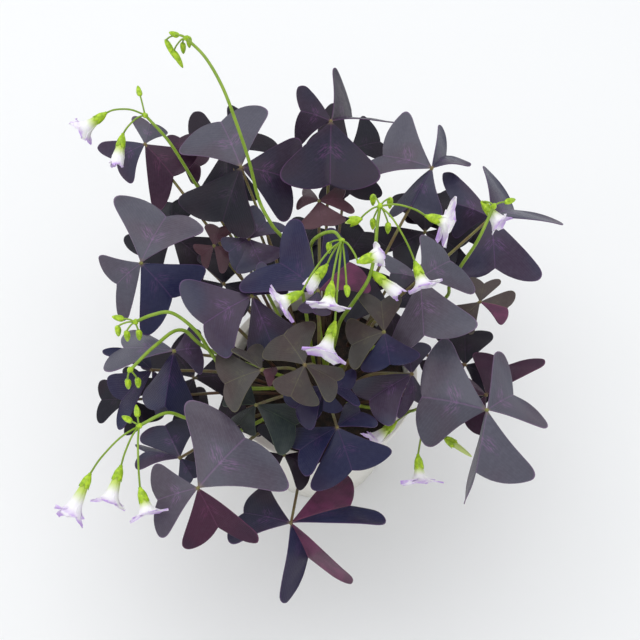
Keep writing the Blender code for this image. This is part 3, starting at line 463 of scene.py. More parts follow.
def flower_ends(flower):
    """Neck, mouth and direction of a flower."""
    neck = picture_to_world(flower.neck, flower.height)
    mouth = picture_to_world(flower.mouth, flower.height - flower.drop)
    return neck, mouth, (mouth - neck).normalized()


# Materials


def hex_colour(text):
    """Linear colour from an sRGB hex text."""
    values = [int(text[i:i + 2], 16) / 255 for i in (1, 3, 5)]
    return (*(v / 12.92 if v <= 0.04045 else ((v + 0.055) / 1.055) ** 2.4 for v in values), 1.0)


def add_node(tree, kind, inputs=None, out=0, **settings):
    """Add a shader node, set it, give its inputs values or links, and return one of its outputs."""
    node = tree.nodes.new("ShaderNode" + kind)
    for key, value in settings.items():
        setattr(node, key, value)
    for key, value in (inputs or {}).items():
        if isinstance(value, bpy.types.NodeSocket):
            tree.links.new(value, node.inputs[key])
        else:
            node.inputs[key].default_value = value
    return node.outputs[out]


def start_material(title):
    """A new material, its node adder and its object coordinates, in metres."""
    skin = bpy.data.materials.new(title)
    skin.use_nodes = True
    add = partial(add_node, skin.node_tree)
    return skin, add, add("TexCoord", out="Object")


def patchy(add, place, size_mm, detail, low, high, share=1.0):
    """Patches of about a size: 0 where their noise is low, and the given share where it is high."""
    noise = add("TexNoise", {"Vector": place, "Scale": 1000 / size_mm, "Detail": detail})
    return add("MapRange", {0: noise, 1: low, 2: high, 4: share}, **SMOOTH)


def stripes(add, value, rate, width):
    """Thin lines, 1 at their middle, each time that a value has grown by pi over the rate."""
    wave = add("Math", {0: add("Math", {0: value, 1: rate}, operation="MULTIPLY")}, operation="SINE")
    return add("MapRange", {0: add("Math", {0: wave}, operation="ABSOLUTE"), 1: width, 2: 0.0}, **SMOOTH)


def finish_material(skin, colour, layers, relief, bump, **values):
    """Lay colours over the first one, each by its share; set the relief and the shader's values.

    bump gives the strength and the depth in metres. Values are numbers or links, by input name.
    """
    tree = skin.node_tree
    for share, over in layers:
        colour = add_node(tree, "Mix", {0: share, 6: colour, 7: hex_colour(over)}, 2, data_type="RGBA")
    values["Base_Color"] = colour
    values["Normal"] = add_node(tree, "Bump", {"Height": relief, "Strength": bump[0], "Distance": bump[1]})
    for key, value in values.items():
        socket = tree.nodes["Principled BSDF"].inputs[key.replace("_", " ")]
        if isinstance(value, bpy.types.NodeSocket):
            tree.links.new(value, socket)
        else:
            socket.default_value = value
    return skin


def leaflet_axes(add, place):
    """Distances across and along a leaflet in midrib lengths, nearness to its edge, and its veins.

    The veins leave the midrib at a slant and fan out to the margin. They are drawn 2 to 3 mm
    apart, twice as far as the real ones, so that they show in the picture.
    """
    spots = add("SeparateXYZ", {0: add("UVMap", uv_map="leaflet")}).node.outputs
    edge = add("SeparateXYZ", {0: add("UVMap", uv_map="edge")})
    side = add("Math", {0: spots[0], 1: 0.5}, operation="SUBTRACT")
    side = add("Math", {0: side}, operation="ABSOLUTE")
    across = add("Math", {0: side, 1: UV_ACROSS}, operation="MULTIPLY")
    along = add("Math", {0: spots[1], 1: UV_ALONG}, operation="MULTIPLY")
    slant = add("Math", {0: across, 1: -VEIN_SLANT, 2: along}, operation="MULTIPLY_ADD")
    sway = add("TexNoise", {"Vector": place, "Scale": 1000 / 9.0, "Detail": 3.0})
    course = add("Math", {0: sway, 1: 0.10, 2: slant}, operation="MULTIPLY_ADD")
    return across, along, slant, edge, stripes(add, course, VEIN_RATE, 0.30)


def leaf_upper_side(title, base, flush, mark, rim, marks, sheen, gloss, shine):
    """Living leaf, smooth and waxy: satin, with violet feathers beside the midrib."""
    skin, add, place = start_material(title)
    across, along, slant, edge, veins = leaflet_axes(add, place)
    # A warm flush in patches of 34 mm, and a pale bloom in grains drawn 2 mm wide so that they show
    warm = patchy(add, place, 34.0, 1.0, 0.42, 0.62, 0.75)
    grains = add("TexNoise", {"Vector": place, "Scale": 1000 / 2.2, "Detail": 4.0})
    bloom = add("MapRange", {0: grains, 1: 0.35, 2: 0.75, 4: 0.10}, **SMOOTH)
    rough = add("MapRange", {0: grains, 1: 0.35, 2: 0.75, 3: gloss, 4: gloss + 0.12}, **SMOOTH)
    # Feathers: streaks along the veins, in a slanted band half way up the midrib
    course = add("Math", {0: along, 1: across}, operation="ADD")
    reach = add("Math", {0: slant, 1: 30.0}, operation="MULTIPLY")
    streak_place = add("CombineXYZ", {0: reach, 1: add("Math", {0: course, 1: 6.0}, operation="MULTIPLY")})
    streaks = add("TexNoise", {"Vector": streak_place, "Scale": 1.0, "Detail": 3.0})
    streaks = add("MapRange", {0: streaks, 1: 0.44, 2: 0.66, 4: marks}, **SMOOTH)
    hinge = add("Math", {0: across, 1: -0.85, 2: along}, operation="MULTIPLY_ADD")
    hinge = add("Math", {0: hinge, 1: 0.44}, operation="SUBTRACT")
    hinge = add("Math", {0: hinge}, operation="ABSOLUTE")
    band = add("MapRange", {0: hinge, 1: 0.18, 2: 0.02}, **SMOOTH)
    near = add("MapRange", {0: across, 1: 0.34, 2: 0.08}, **SMOOTH)
    feather = add("Math", {0: band, 1: near}, operation="MULTIPLY")
    feather = add("Math", {0: feather, 1: streaks}, operation="MULTIPLY")
    # The midrib is a groove, the margin a thin coloured line, and the heart pale at the stalk
    rib = add("MapRange", {0: across, 1: 0.018, 2: 0.004}, **SMOOTH)
    heart = add("MapRange", {0: along, 1: 0.10, 2: 0.01, 4: 0.5}, **SMOOTH)
    margin = add("MapRange", {0: edge, 1: 0.965, 2: 0.99, 4: 0.45}, **SMOOTH)
    swell = add("TexNoise", {"Vector": place, "Scale": 1000 / 3.5, "Detail": 2.0})
    relief = add("Math", {0: veins, 1: -0.7, 2: swell}, operation="MULTIPLY_ADD")
    relief = add("Math", {0: rib, 1: -1.4, 2: relief}, operation="MULTIPLY_ADD")
    layers = ((warm, flush), (bloom, rim), (feather, mark),
              (add("Math", {0: rib, 1: 0.30}, operation="MULTIPLY"), mark),
              (add("Math", {0: veins, 1: 0.10}, operation="MULTIPLY"), rim),
              (heart, "#8d7a58"), (margin, mark))
    return finish_material(skin, base, layers, relief, (0.40, 0.00025), Roughness=rough, Sheen_Weight=sheen,
                           Sheen_Roughness=0.45, Sheen_Tint=hex_colour("#b4b4c0"), Specular_IOR_Level=shine)


def leaf_underside(title, base, shade):
    """Living leaf from below: magenta and almost matt, with raised veins and a thick midrib."""
    skin, add, place = start_material(title)
    across, *_, veins = leaflet_axes(add, place)
    rib = add("MapRange", {0: across, 1: 0.030, 2: 0.006}, **SMOOTH)
    relief = add("Math", {0: veins, 1: 0.4, 2: rib}, operation="MULTIPLY_ADD")
    layers = ((patchy(add, place, 8.0, 3.0, 0.7, 0.3), shade),
              (add("Math", {0: veins, 1: 0.20}, operation="MULTIPLY"), shade),
              (add("Math", {0: rib, 1: 0.5}, operation="MULTIPLY"), "#8d4a62"))
    return finish_material(skin, base, layers, relief, (0.45, 0.00045), Roughness=0.52, Sheen_Weight=0.10)


def stalk(title, foot, top, blush, blush_share):
    """Juicy stalk with a smooth, wet-looking skin; its colour turns from the foot to the top."""
    skin, add, place = start_material(title)
    climb = add("MapRange", {0: add("SeparateXYZ", {0: place}, 2), 1: 0.085, 2: 0.200}, **SMOOTH)
    # The blush comes in patches of about 7 mm. The skin's cells are drawn 0.5 mm wide so that they show
    patch = patchy(add, place, 7.0, 2.0, 0.42, 0.62, blush_share)
    cells = add("TexNoise", {"Vector": place, "Scale": 1000 / 0.5, "Detail": 3.0})
    return finish_material(skin, foot, ((climb, top), (patch, blush)), cells, (0.3, 0.0002), Roughness=0.38,
                           Subsurface_Weight=0.15, Subsurface_Radius=(0.002, 0.002, 0.0006))


def petal(title, white, throat, lilac, line):
    """Thin moist petal: soft and translucent, yellow-green in the throat and lilac at its tip."""
    skin, add, place = start_material(title)
    spots = add("SeparateXYZ", {0: add("UVMap", uv_map="leaflet")}).node.outputs
    deep = add("MapRange", {0: spots[1], 1: 0.54, 2: 0.16}, **SMOOTH)
    tip = add("MapRange", {0: spots[1], 1: 0.58, 2: 0.95}, **SMOOTH)
    wash = add("Math", {0: patchy(add, place, 7.0, 3.0, 0.34, 0.58, 0.95), 1: tip}, operation="MULTIPLY")
    # Eleven lines run from throat to tip, about 0.8 mm apart where the petal is widest
    veins = stripes(add, spots[0], 34.0, 0.4)
    tint = add("Math", {0: veins, 1: 0.16}, operation="MULTIPLY")
    return finish_material(skin, white, ((deep, throat), (wash, lilac), (tint, line)), veins, (0.25, 0.0002),
                           Roughness=0.55, Subsurface_Weight=0.25, Subsurface_Radius=(0.002, 0.0018, 0.0022))


def sepal(title, green, light):
    """Sepals and buds: waxy bright green with lighter patches of about 2 mm."""
    skin, add, place = start_material(title)
    cells = add("TexNoise", {"Vector": place, "Scale": 1000 / 0.5, "Detail": 3.0})
    return finish_material(skin, green, ((patchy(add, place, 2.2, 3.0, 0.35, 0.7), light),), cells,
                           (0.3, 0.0002), Roughness=0.45, Subsurface_Weight=0.2,
                           Subsurface_Radius=(0.0015, 0.002, 0.0004))


def moulded_plastic(title, shell, cloud, dust):
    """Injection-moulded polypropylene: even and low in gloss, with a dusty foot."""
    skin, add, place = start_material(title)
    flow = add("TexNoise", {"Vector": place, "Scale": 1000 / 22.0, "Detail": 3.0})
    flow = add("Math", {0: flow, 1: 0.5}, operation="MULTIPLY")
    foot = add("MapRange", {0: add("SeparateXYZ", {0: place}, 2), 1: 0.030, 2: 0.0}, **SMOOTH)
    soiled = add("Math", {0: foot, 1: patchy(add, place, 3.0, 5.0, 0.45, 0.75, 0.25)}, operation="MULTIPLY")
    rough = add("Math", {0: soiled, 1: 0.7, 2: 0.34}, operation="MULTIPLY_ADD")
    # The mould's spark-eroded grain is 0.1 mm; it is drawn 0.35 mm wide so that it shows
    grain = add("TexNoise", {"Vector": place, "Scale": 1000 / 0.35, "Detail": 2.0})
    return finish_material(skin, shell, ((flow, cloud), (soiled, dust)), grain, (0.12, 0.0001),
                           Roughness=rough)


def potting_soil(title, wet, crumb, fibre):
    """Damp peat soil: dark, matt and crumbly, with paler fibres. Its base is darker than damp peat alone:
    painted shade from the leaves above.
    """
    skin, add, place = start_material(title)
    clods = patchy(add, place, 4.0, 6.0, 0.35, 0.7)
    threads = patchy(add, place, 1.1, 6.0, 0.62, 0.72, 0.6)
    crumbs = add("TexNoise", {"Vector": place, "Scale": 1000 / 1.2, "Detail": 8.0})
    return finish_material(skin, wet, ((clods, crumb), (threads, fibre)), crumbs, (0.9, 0.0008),
                           Roughness=0.92)


# Maker, title and colours of each material; leaves add the strength of the feathers, the sheen,
# the roughness and the specular level
MATERIALS = {
    # The silver blade is the violet blade made lighter: a painted sheen
    "silver": (leaf_upper_side, "silvery violet leaf blade", "#4b4957", "#493c4b", "#84608c", "#807e8c",
               0.60, 0.22, 0.40, 0.45),
    "violet": (leaf_upper_side, "violet leaf blade", "#2f2e45", "#37203a", "#704a7e", "#605c74",
               0.60, 0.12, 0.36, 0.38),
    # The plum and blue blades are the violet blade made darker, and the shaded blade darker still: painted
    # shade
    "plum": (leaf_upper_side, "plum leaf blade", "#211b30", "#2a172c", "#663c6c", "#4c455e",
             0.60, 0.06, 0.36, 0.28),
    "blue": (leaf_upper_side, "blue-violet leaf blade", "#1c1d40", "#251838", "#583868", "#464866",
             0.45, 0.05, 0.30, 0.28),
    "maroon": (leaf_upper_side, "maroon leaf blade", "#34182f", "#421932", "#70365c", "#5a4358",
               0.45, 0.08, 0.36, 0.30),
    "dark": (leaf_upper_side, "shaded leaf blade", "#171521", "#211220", "#48304e", "#343140",
             0.40, 0.03, 0.36, 0.25),
    "olive": (leaf_upper_side, "young olive leaf blade", "#403c3a", "#433333", "#74704e", "#6e6a5e",
              0.25, 0.10, 0.36, 0.35),
    "green": (leaf_upper_side, "young green leaf blade", "#222b2d", "#2a2b2a", "#4e5c44", "#586452",
              0.25, 0.06, 0.34, 0.28),
    "brown": (leaf_upper_side, "young brown leaf blade", "#4b2c36", "#552f3a", "#744c60", "#6e5a5e",
              0.35, 0.10, 0.38, 0.35),
    "under": (leaf_underside, "magenta leaf underside", "#6a2650", "#4a183a"),
    "petiole": (stalk, "leaf stalk", "#46332a", "#7f7c40", "#6e4038", 0.45),
    "scape": (stalk, "flower stalk", "#7b8a2c", "#7d9c22", "#96b038", 0.5),
    "petal": (petal, "shamrock petal", "#fbf8fb", "#c6dc5e", "#c8a0e8", "#c9b6da"),
    "sepal": (sepal, "shamrock sepal", "#8fb312", "#bcdc2c"),
    "pot": (moulded_plastic, "off-white moulded plastic", "#e9e6dd", "#d9d6cd", "#9c9282"),
    # The soil's base is damp peat's own dark brown, darkened further as painted shade under the leaves
    "soil": (potting_soil, "damp potting soil", "#120c08", "#33241a", "#5c4936"),
}
# Colours that a user may change: the look and the property that hold each one
USER_COLOURS = {
    "violet": ("shamrock_leaf", "upper_colour"),
    "under": ("shamrock_leaf", "under_colour"),
    "scape": ("shamrock_flower", "stalk_colour"),
    "petal": ("shamrock_flower", "petal_colour"),
    "pot": ("shamrock_pot", "pot_colour"),
}


def material(name):
    """One of the plant's materials, made when it is first asked for."""
    maker, title, base, *values = MATERIALS[name]
    if title not in bpy.data.materials:
        colour = hex_colour(base)
        if name in USER_COLOURS:
            look, key = USER_COLOURS[name]
            colour = (*getattr(getattr(bpy.context.scene, look), key), 1.0)
        maker(title, colour, *values)
    return bpy.data.materials[title]


def user_colour(label, description, name):
    """A colour property whose default is that of a material."""
    return FloatVectorProperty(name=label, description=description, subtype="COLOR", size=3, min=0.0,
                               max=1.0, default=hex_colour(MATERIALS[name][2])[:3])


def user_size(label, description, default):
    """A size in metres that a user may change."""
    return FloatProperty(name=label, description=description, default=default, min=0.0001, unit="LENGTH")


# Modelling


def deselect():
    """Leave edit mode with nothing selected."""
    if bpy.context.object and bpy.context.object.mode != "OBJECT":
        bpy.ops.object.mode_set(mode="OBJECT")
    bpy.ops.object.select_all(action="DESELECT")


def take(thing):
    """Make one object the only selected and the active one."""
    deselect()
    thing.select_set(True)
    bpy.context.view_layer.objects.active = thing


def apply_modifier(thing, name, kind, **settings):
    """Add a modifier, set it and apply it."""
    modifier = thing.modifiers.new(name, kind)
    for key, value in settings.items():
        setattr(modifier, key, value)
    take(thing)
    bpy.ops.object.modifier_apply(modifier=modifier.name)


def weld(thing, outward=False):
    """Merge the doubled points of a mesh, and turn its faces outwards where asked."""
    take(thing)
    bpy.ops.object.mode_set(mode="EDIT")
    bpy.ops.mesh.select_all(action="SELECT")
    bpy.ops.mesh.remove_doubles(threshold=MERGE_DISTANCE)
    if outward:
        bpy.ops.mesh.normals_make_consistent(inside=False)
    bpy.ops.object.mode_set(mode="OBJECT")


def sheet_piece(name, columns, rows, placer, skins, thickness, facing, turned=()):
    """A grid primitive bent over a surface, thickened, with its own UV maps.

    placer gives a vertex's place, its UV and its nearness to the edge from its column and row
    shares. The halves named in turned have the first skin below and the second above.
    """
    deselect()
    bpy.ops.mesh.primitive_grid_add(x_subdivisions=columns, y_subdivisions=rows, size=1.0, location=(0, 0, 0))
    thing = bpy.context.object
    thing.name = name
    mesh = thing.data
    halves = [0 if face.center.x < 0 else 1 for face in mesh.polygons]
    marks, edges = [], []
    for vertex in mesh.vertices:
        column, row = vertex.co.x + 0.5, vertex.co.y + 0.5
        vertex.co, mark = placer(column, row)
        marks.append(mark)
        edges.append((abs(2 * column - 1), row))
    while mesh.uv_layers:
        mesh.uv_layers.remove(mesh.uv_layers[0])
    for label, values in (("leaflet", marks), ("edge", edges)):
        layer = mesh.uv_layers.new(name=label)
        for loop in mesh.loops:
            layer.data[loop.index].uv = values[loop.vertex_index]
    for skin in skins:
        mesh.materials.append(material(skin))
    if turned:
        mesh.materials.append(material(skins[0]))
        for face, half in zip(mesh.polygons, halves):
            face.material_index = 1 if half in turned else 0
    mesh.update()
    if sum(face.normal.dot(facing) * face.area for face in mesh.polygons) < 0:
        mesh.flip_normals()
    weld(thing)
    apply_modifier(thing, "thickness", "SOLIDIFY", thickness=thickness, offset=0.0, use_even_offset=False,
                   material_offset=len(skins) - 1)
    return thing


def stem_piece(name, path, radii, skin, sides):
    """A round stalk: a poly curve with a bevel and a radius at each point, made into a mesh."""
    deselect()
    data = bpy.data.curves.new(name, "CURVE")
    data.dimensions = "3D"
    spline = data.splines.new("POLY")
    spline.points.add(len(path) - 1)
    for point, place, radius in zip(spline.points, path, radii):
        point.co = (*place, 1.0)
        point.radius = radius * 1000
    data.bevel_depth = 0.001
    data.bevel_resolution = sides
    data.use_fill_caps = True
    thing = bpy.data.objects.new(name, data)
    bpy.context.scene.collection.objects.link(thing)
    take(thing)
    bpy.ops.object.convert(target="MESH")
    thing = bpy.context.object
    thing.data.materials.clear()
    thing.data.materials.append(material(skin))
    return thing


def ball_piece(name, centre, axis, length, radius, skin, ridges=0, sides=12, rings=8):
    """A UV sphere drawn out along an axis, narrower at its far end, with ridges where asked."""
    deselect()
    bpy.ops.mesh.primitive_uv_sphere_add(segments=sides, ring_count=rings, radius=1.0, location=(0, 0, 0))
    thing = bpy.context.object
    thing.name = name
    side = axis.orthogonal().normalized()
    other = axis.cross(side)
    for vertex in thing.data.vertices:
        x, y, z = vertex.co
        swell = 1.0 + 0.12 * math.cos(ridges * math.atan2(y, x)) if ridges else 1.0
        narrow = 1.0 - 0.25 * z
        place = side * (x * radius * swell * narrow) + other * (y * radius * swell * narrow)
        vertex.co = centre + place + axis * (z * length / 2)
    thing.data.materials.append(material(skin))
    return thing


def join(name, things, smooth=50):
    """Join things into one named object with smooth shading up to an angle."""
    deselect()
    for thing in things:
        thing.select_set(True)
    bpy.context.view_layer.objects.active = things[0]
    if len(things) > 1:
        bpy.ops.object.join()
    whole = bpy.context.object
    whole.name = name
    whole.data.name = name
    take(whole)
    bpy.ops.object.shade_smooth_by_angle(angle=math.radians(smooth))
    return whole


def stay_inside(piece):
    """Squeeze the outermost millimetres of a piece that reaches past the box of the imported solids."""
    for axis in range(3):
        for sign, limit in ((-1, -CAD_BOX[0][axis]), (1, CAD_BOX[1][axis])):
            reach = max(vertex.co[axis] * sign for vertex in piece.data.vertices)
            if reach > limit:
                start = limit - SQUEEZE_BAND
                share = (SQUEEZE_BAND - SQUEEZE_CLEARANCE) / (reach - start)
                for vertex in piece.data.vertices:
                    past = vertex.co[axis] * sign - start
                    if past > 0:
                        vertex.co[axis] = sign * (start + past * share)


def seat(piece, node):
    """A piece that rides on the plant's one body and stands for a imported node."""
    stay_inside(piece)
    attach(piece, "root")
    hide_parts(node)
    deselect()


def lobe_fit(hub, midrib, across, normal, tip, start_turn):
    """Fold angle, reach and sweep that bring a lobe's tip nearest to its place in the photo."""
    best = None
    for step in LOBE_TURNS:
        angle = math.radians(step)
        arm = (across * math.cos(angle) + normal * math.sin(angle)) * (LOBE_TIP[1] * midrib.length)
        for share in LOBE_REACHES:
            for sweep in LOBE_SWEEPS:
                seen = world_to_picture(hub + midrib * (LOBE_TIP[0] * sweep) + arm * share)
                miss = (seen[0] - tip[0]) ** 2 + (seen[1] - tip[1]) ** 2
                miss += TURN_COST * (step - start_turn) ** 2
                miss += REACH_COST * (share - 1.0) ** 2 + SWEEP_COST * (sweep - 1.0) ** 2
                if best is None or miss < best[0]:
                    best = (miss, angle, share, sweep)
    return best[1:]


def outline_at(share):
    """Point of a leaflet's half outline at a share of its length."""
    points = [Vector((a, b, 0.0)) for a, b in HALF_OUTLINE]
    last = len(points) - 1
    i = min(int(share * last), last - 1)
    place = smooth_point(points[max(i - 1, 0)], points[i], points[i + 1], points[min(i + 2, last)],
                         share * last - i)
    return place.x, max(place.y, 0.0)


def blade_piece(name, hub, hub_height, shape, look, tone, seed, turned):
    """One folded leaflet on the same hub, midrib and lobes as the solid's, with a round outline."""
    end = picture_to_world(shape.notch, hub_height + shape.rise)
    midrib = end - hub
    length = midrib.length
    forward = midrib.normalized()
    across = forward.cross(Vector((0.0, 0.0, 1.0))).normalized()
    normal = across.cross(forward).normalized()
    arms = []
    for sign, tip in ((-1, shape.left), (1, shape.right)):
        outward = across * sign
        turn, share, sweep = lobe_fit(hub, midrib, outward, normal, tip, shape.fold)
        arm = outward * math.cos(turn) + normal * math.sin(turn)
        hollow = normal * math.cos(turn) - outward * math.sin(turn)
        arms.append((arm, hollow, share, sweep))
    chance = random.Random(seed)
    waves = [(chance.uniform(5, 9), chance.uniform(0, 6.3)) for _ in range(4)]

    def placer(column, row):
        half = 0 if column < 0.5 else 1
        arm, hollow, share, sweep = arms[half]
        out = abs(column - 0.5) * 2
        edge_along, edge_across = outline_at(row)
        mid_along = 1 - (1 - row) ** 2.0
        along = mid_along + (edge_along - mid_along) * out
        reach = edge_across * out
        arch = MIDRIB_ARCH * length * math.sin(math.pi * min(along, 1.0))
        speed, phase = waves[half]
        ruffle = look.ruffle * length * math.sin(speed * row * 2 + phase) * out ** 3
        bend = -LOBE_CURL * length * reach * reach + ruffle
        far = along * (1 + (sweep - 1) * min(reach / LOBE_TIP[1], 1.0))
        place = hub + midrib * far + normal * arch + arm * (reach * share * length) + hollow * bend
        side = -1 if half == 0 else 1
        return place, (0.5 + side * reach / UV_ACROSS, along / UV_ALONG)

    return sheet_piece(name, 2 * look.half_columns, look.rows, placer, (tone, "under"), look.blade_thickness,
                       normal, turned)


class ShamrockLeafLook(bpy.types.PropertyGroup):
    """Sizes and colours of the leaves."""

    blade_thickness: user_size("Blade thickness", "Thickness of a leaf blade", 0.0005)
    ruffle: FloatProperty(name="Ruffle", description="Wave of the margin, in midrib lengths", default=0.012,
                          min=0.0)
    petiole_foot: user_size("Petiole foot", "Radius of a leaf stalk at the soil", 0.00115)
    petiole_top: user_size("Petiole top", "Radius of a leaf stalk under its leaflets", 0.00080)
    upper_colour: user_colour("Upper side", "Colour of most leaves from above", "violet")
    under_colour: user_colour("Underside", "Colour of the leaves from below", "under")
    half_columns: IntProperty(name="Columns", description="Faces across half a leaflet", default=7, min=2)
    rows: IntProperty(name="Rows", description="Faces along a leaflet's outline", default=26, min=6)


class ShamrockFlowerLook(bpy.types.PropertyGroup):
    """Sizes and colours of the flower stalks and petals."""

    scape_radius: user_size("Scape", "Radius of a flower stalk", 0.00105)
    pedicel_radius: user_size("Pedicel", "Radius of the thin stalk of one flower", 0.00055)
    sepal_length: user_size("Sepal", "Length of a sepal", 0.0080)
    petal_thickness: user_size("Petal thickness", "Thickness of a petal", 0.00028)
    stalk_colour: user_colour("Stalks", "Colour of the flower stalks at the soil", "scape")
    petal_colour: user_colour("Petals", "Colour of the middle of the petals", "petal")


class ShamrockPotLook(bpy.types.PropertyGroup):
    """Colour and fineness of the pot."""

    pot_colour: user_colour("Pot colour", "Colour of the plastic", "pot")
    sides: IntProperty(name="Sides", description="Faces round the pot", default=96, min=12)


class ShamrockStageLook(bpy.types.PropertyGroup):
    """Light and floor."""

    floor_colour: FloatVectorProperty(name="Floor", description="Colour of the pale floor", subtype="COLOR",
                                      size=3, default=(0.92, 0.92, 0.92), min=0.0, max=1.0)
    key_power: FloatProperty(name="Key light", description="Power of the large top light in watts",
                             default=20.0, min=0.0)
    fill_power: FloatProperty(name="Fill light", description="Power of the front light in watts",
                              default=2.5, min=0.0)
    sky: FloatProperty(name="Sky", description="Strength of the pale surroundings", default=0.70, min=0.0)


class SHAMROCK_OT_leaves(bpy.types.Operator):
    """Model every leaf: a petiole, a hub and three folded leaflets"""

    bl_idname = "shamrock.leaves"
    bl_label = "Leaves"

    def execute(self, context):
        look = context.scene.shamrock_leaf
        for name in dict.fromkeys(leaf.name for leaf in LEAVES):
            things = []
            root = None
            for number, leaf in enumerate(LEAVES):
                if leaf.name == name:
                    hub = picture_to_world(leaf.hub, leaf.height)
                    first = root is None
                    root = stem_root(hub, leaf.root) if first else root
                    things += self.leaf(leaf, number, hub, root, first, look)
            seat(join("foliage_" + name, things), name)
        return {"FINISHED"}

    def leaf(self, leaf, number, hub, root, first, look):
        """A petiole, a hub and three leaflets; a tuft's later petioles start at its collar."""
        label = "%s_%d" % (leaf.name, number)
        things = []
        for k, shape in enumerate(leaf.leaflets):
            tone = BLADE_TONES.get((leaf.name, k), LEAF_TONES.get(leaf.name, "violet"))
            things.append(blade_piece("%s_blade_%d" % (label, k), hub, leaf.height, shape, look, tone,
                                      number * 3 + k, TURNED_HALVES.get((leaf.name, k), ())))
        path = petiole_path(hub, root, 10)[0 if first else 1:]
        taper = (look.petiole_top - look.petiole_foot) / (len(path) - 1)
        radii = [look.petiole_foot + taper * i for i in range(len(path))]
        things.append(stem_piece(label + "_petiole", path, radii, "petiole", 3))
        rise = (path[-1] - path[-2]).normalized()
        things.append(ball_piece(label + "_hub", hub, rise, HUB_LENGTH, HUB_RADIUS, "petiole"))
        return things


class SHAMROCK_OT_flower_stalks(bpy.types.Operator):
    """Model every flower stalk with its pedicels, sepals and green buds"""

    bl_idname = "shamrock.flower_stalks"
    bl_label = "Flower stalks"

    def execute(self, context):
        look = context.scene.shamrock_flower
        for spray in SPRAYS:
            path = spray_path(spray, 8)
            last = len(path) - 1
            radii = [look.scape_radius * (1.08 - 0.25 * i / last) for i in range(len(path))]
            umbel = path[-1]
            rise = (path[-1] - path[-2]).normalized()
            things = [stem_piece(spray.name + "_scape", path, radii, "scape", 3),
                      ball_piece(spray.name + "_umbel", umbel, rise, UMBEL_LENGTH, UMBEL_RADIUS, "sepal",
                                 ridges=5)]
            for k, bud in enumerate(spray.buds):
                things += self.bud(spray.name, k, umbel, bud, look)
            for flower in spray.flowers:
                neck, mouth, axis = flower_ends(flower)
                things.append(pedicel(flower.name, umbel, neck, look.pedicel_radius))
                things += sepals(flower.name, neck, axis, look)
            seat(join("stalk_" + spray.name, things), spray.name)
        return {"FINISHED"}

    def bud(self, name, number, umbel, bud, look):
        """A nodding green bud or a closed flower on its pedicel."""
        centre, hang, length = bud_ends(umbel, bud)
        label = "%s_bud_%d" % (name, number)
        closed = (name, number) in CLOSED_FLOWERS
        end = centre - hang * (length / 2 - BUD_OVERLAP)
        things = [pedicel(label, umbel, end, look.pedicel_radius * 0.9),
                  ball_piece(label, centre, hang, length, BUD_RADIUS, "petal" if closed else "sepal",
                             ridges=5, sides=15, rings=10)]
        return things + (sepals(label, centre - hang * length / 2, hang, look) if closed else [])


def pedicel(name, umbel, end, radius):
    """The thin arched stalk of one bud or flower."""
    path = pedicel_path(umbel, end, 5)
    return stem_piece(name + "_pedicel", path, [radius] * len(path), "scape", 2)


def sepals(name, neck, axis, look):
    """Five pointed sepals that hold the base of a flower."""
    things = [ball_piece(name + "_receptacle", neck + axis * RECEPTACLE_RISE, axis, RECEPTACLE_LENGTH,
                         RECEPTACLE_RADIUS, "sepal")]
    for k in range(PETALS):
        turn = 2 * math.pi * (k + 0.5) / PETALS

        def placer(column, row):
            half_width = SEPAL_HALF_ANGLE * math.sin(math.pi * min(0.12 + row * 0.88, 1.0)) ** 0.75
            around = round_axis(axis, turn + (column - 0.5) * 2 * half_width)
            reach = 0.0006 + 0.0016 * math.sin(math.pi * min(row, 0.55) / 1.1) + 0.0006 * row ** 2
            return neck + axis * (row * look.sepal_length) + around * reach, (column, row)

        things.append(sheet_piece("%s_sepal_%d" % (name, k), 4, 8, placer, ("sepal",), SEPAL_THICKNESS,
                                  round_axis(axis, turn)))
    return things


class SHAMROCK_OT_petals(bpy.types.Operator):
    """Model the five petals of every flower"""

    bl_idname = "shamrock.petals"
    bl_label = "Petals"

    def execute(self, context):
        for spray in SPRAYS:
            for flower in spray.flowers:
                self.corolla(flower, context.scene.shamrock_flower)
        return {"FINISHED"}

    def corolla(self, flower, look):
        """Petals that close into a tube at the sepals and flare at the mouth."""
        neck, mouth, axis = flower_ends(flower)
        base = neck + axis * COROLLA_START
        length = max((mouth - base).length, 0.006)
        radius = flower.radius / 1000 * PETAL_REACH
        chance = random.Random(flower.name)
        things = []
        for k in range(PETALS):
            turn = 2 * math.pi * k / PETALS
            droop = chance.uniform(0.06, 0.30)
            curl = chance.uniform(-0.05, 0.07)

            def placer(column, row):
                tube = min(row / PETAL_TUBE_ROWS, 1.0)
                flare = max(row - PETAL_TUBE_ROWS, 0.0) / (1 - PETAL_TUBE_ROWS)
                reach = TUBE_RADIUS + (THROAT_RADIUS - TUBE_RADIUS) * tube ** 1.3
                reach += (radius - THROAT_RADIUS) * flare ** 1.35
                narrow = PETAL_HALF_ANGLE * (reach if flare == 0 else THROAT_RADIUS)
                swell = min(flare / PETAL_WIDEST, 1.0) ** 0.8
                wide = narrow + (max(PETAL_WIDTH * radius, narrow) - narrow) * swell
                if flare > PETAL_WIDEST:
                    past = (flare - PETAL_WIDEST) / (1 - PETAL_WIDEST)
                    wide *= math.sqrt(max(1 - past ** 2.4, 0.0))
                side = 2 * column - 1
                around = round_axis(axis, turn + side * wide / reach)
                drop = row * length * (1 - droop * flare ** 2) + curl * length * flare * side
                fold = PETAL_FOLD * radius * flare * side ** 2
                lap = PETAL_LAP * side * (1 - flare)
                return base + axis * (drop - fold) + around * (reach + lap), (column, row)

            things.append(sheet_piece("%s_petal_%d" % (flower.name, k), 8, 14, placer, ("petal",),
                                      look.petal_thickness, round_axis(axis, turn)))
        seat(join("petals_" + flower.name, things, 60), flower.name)


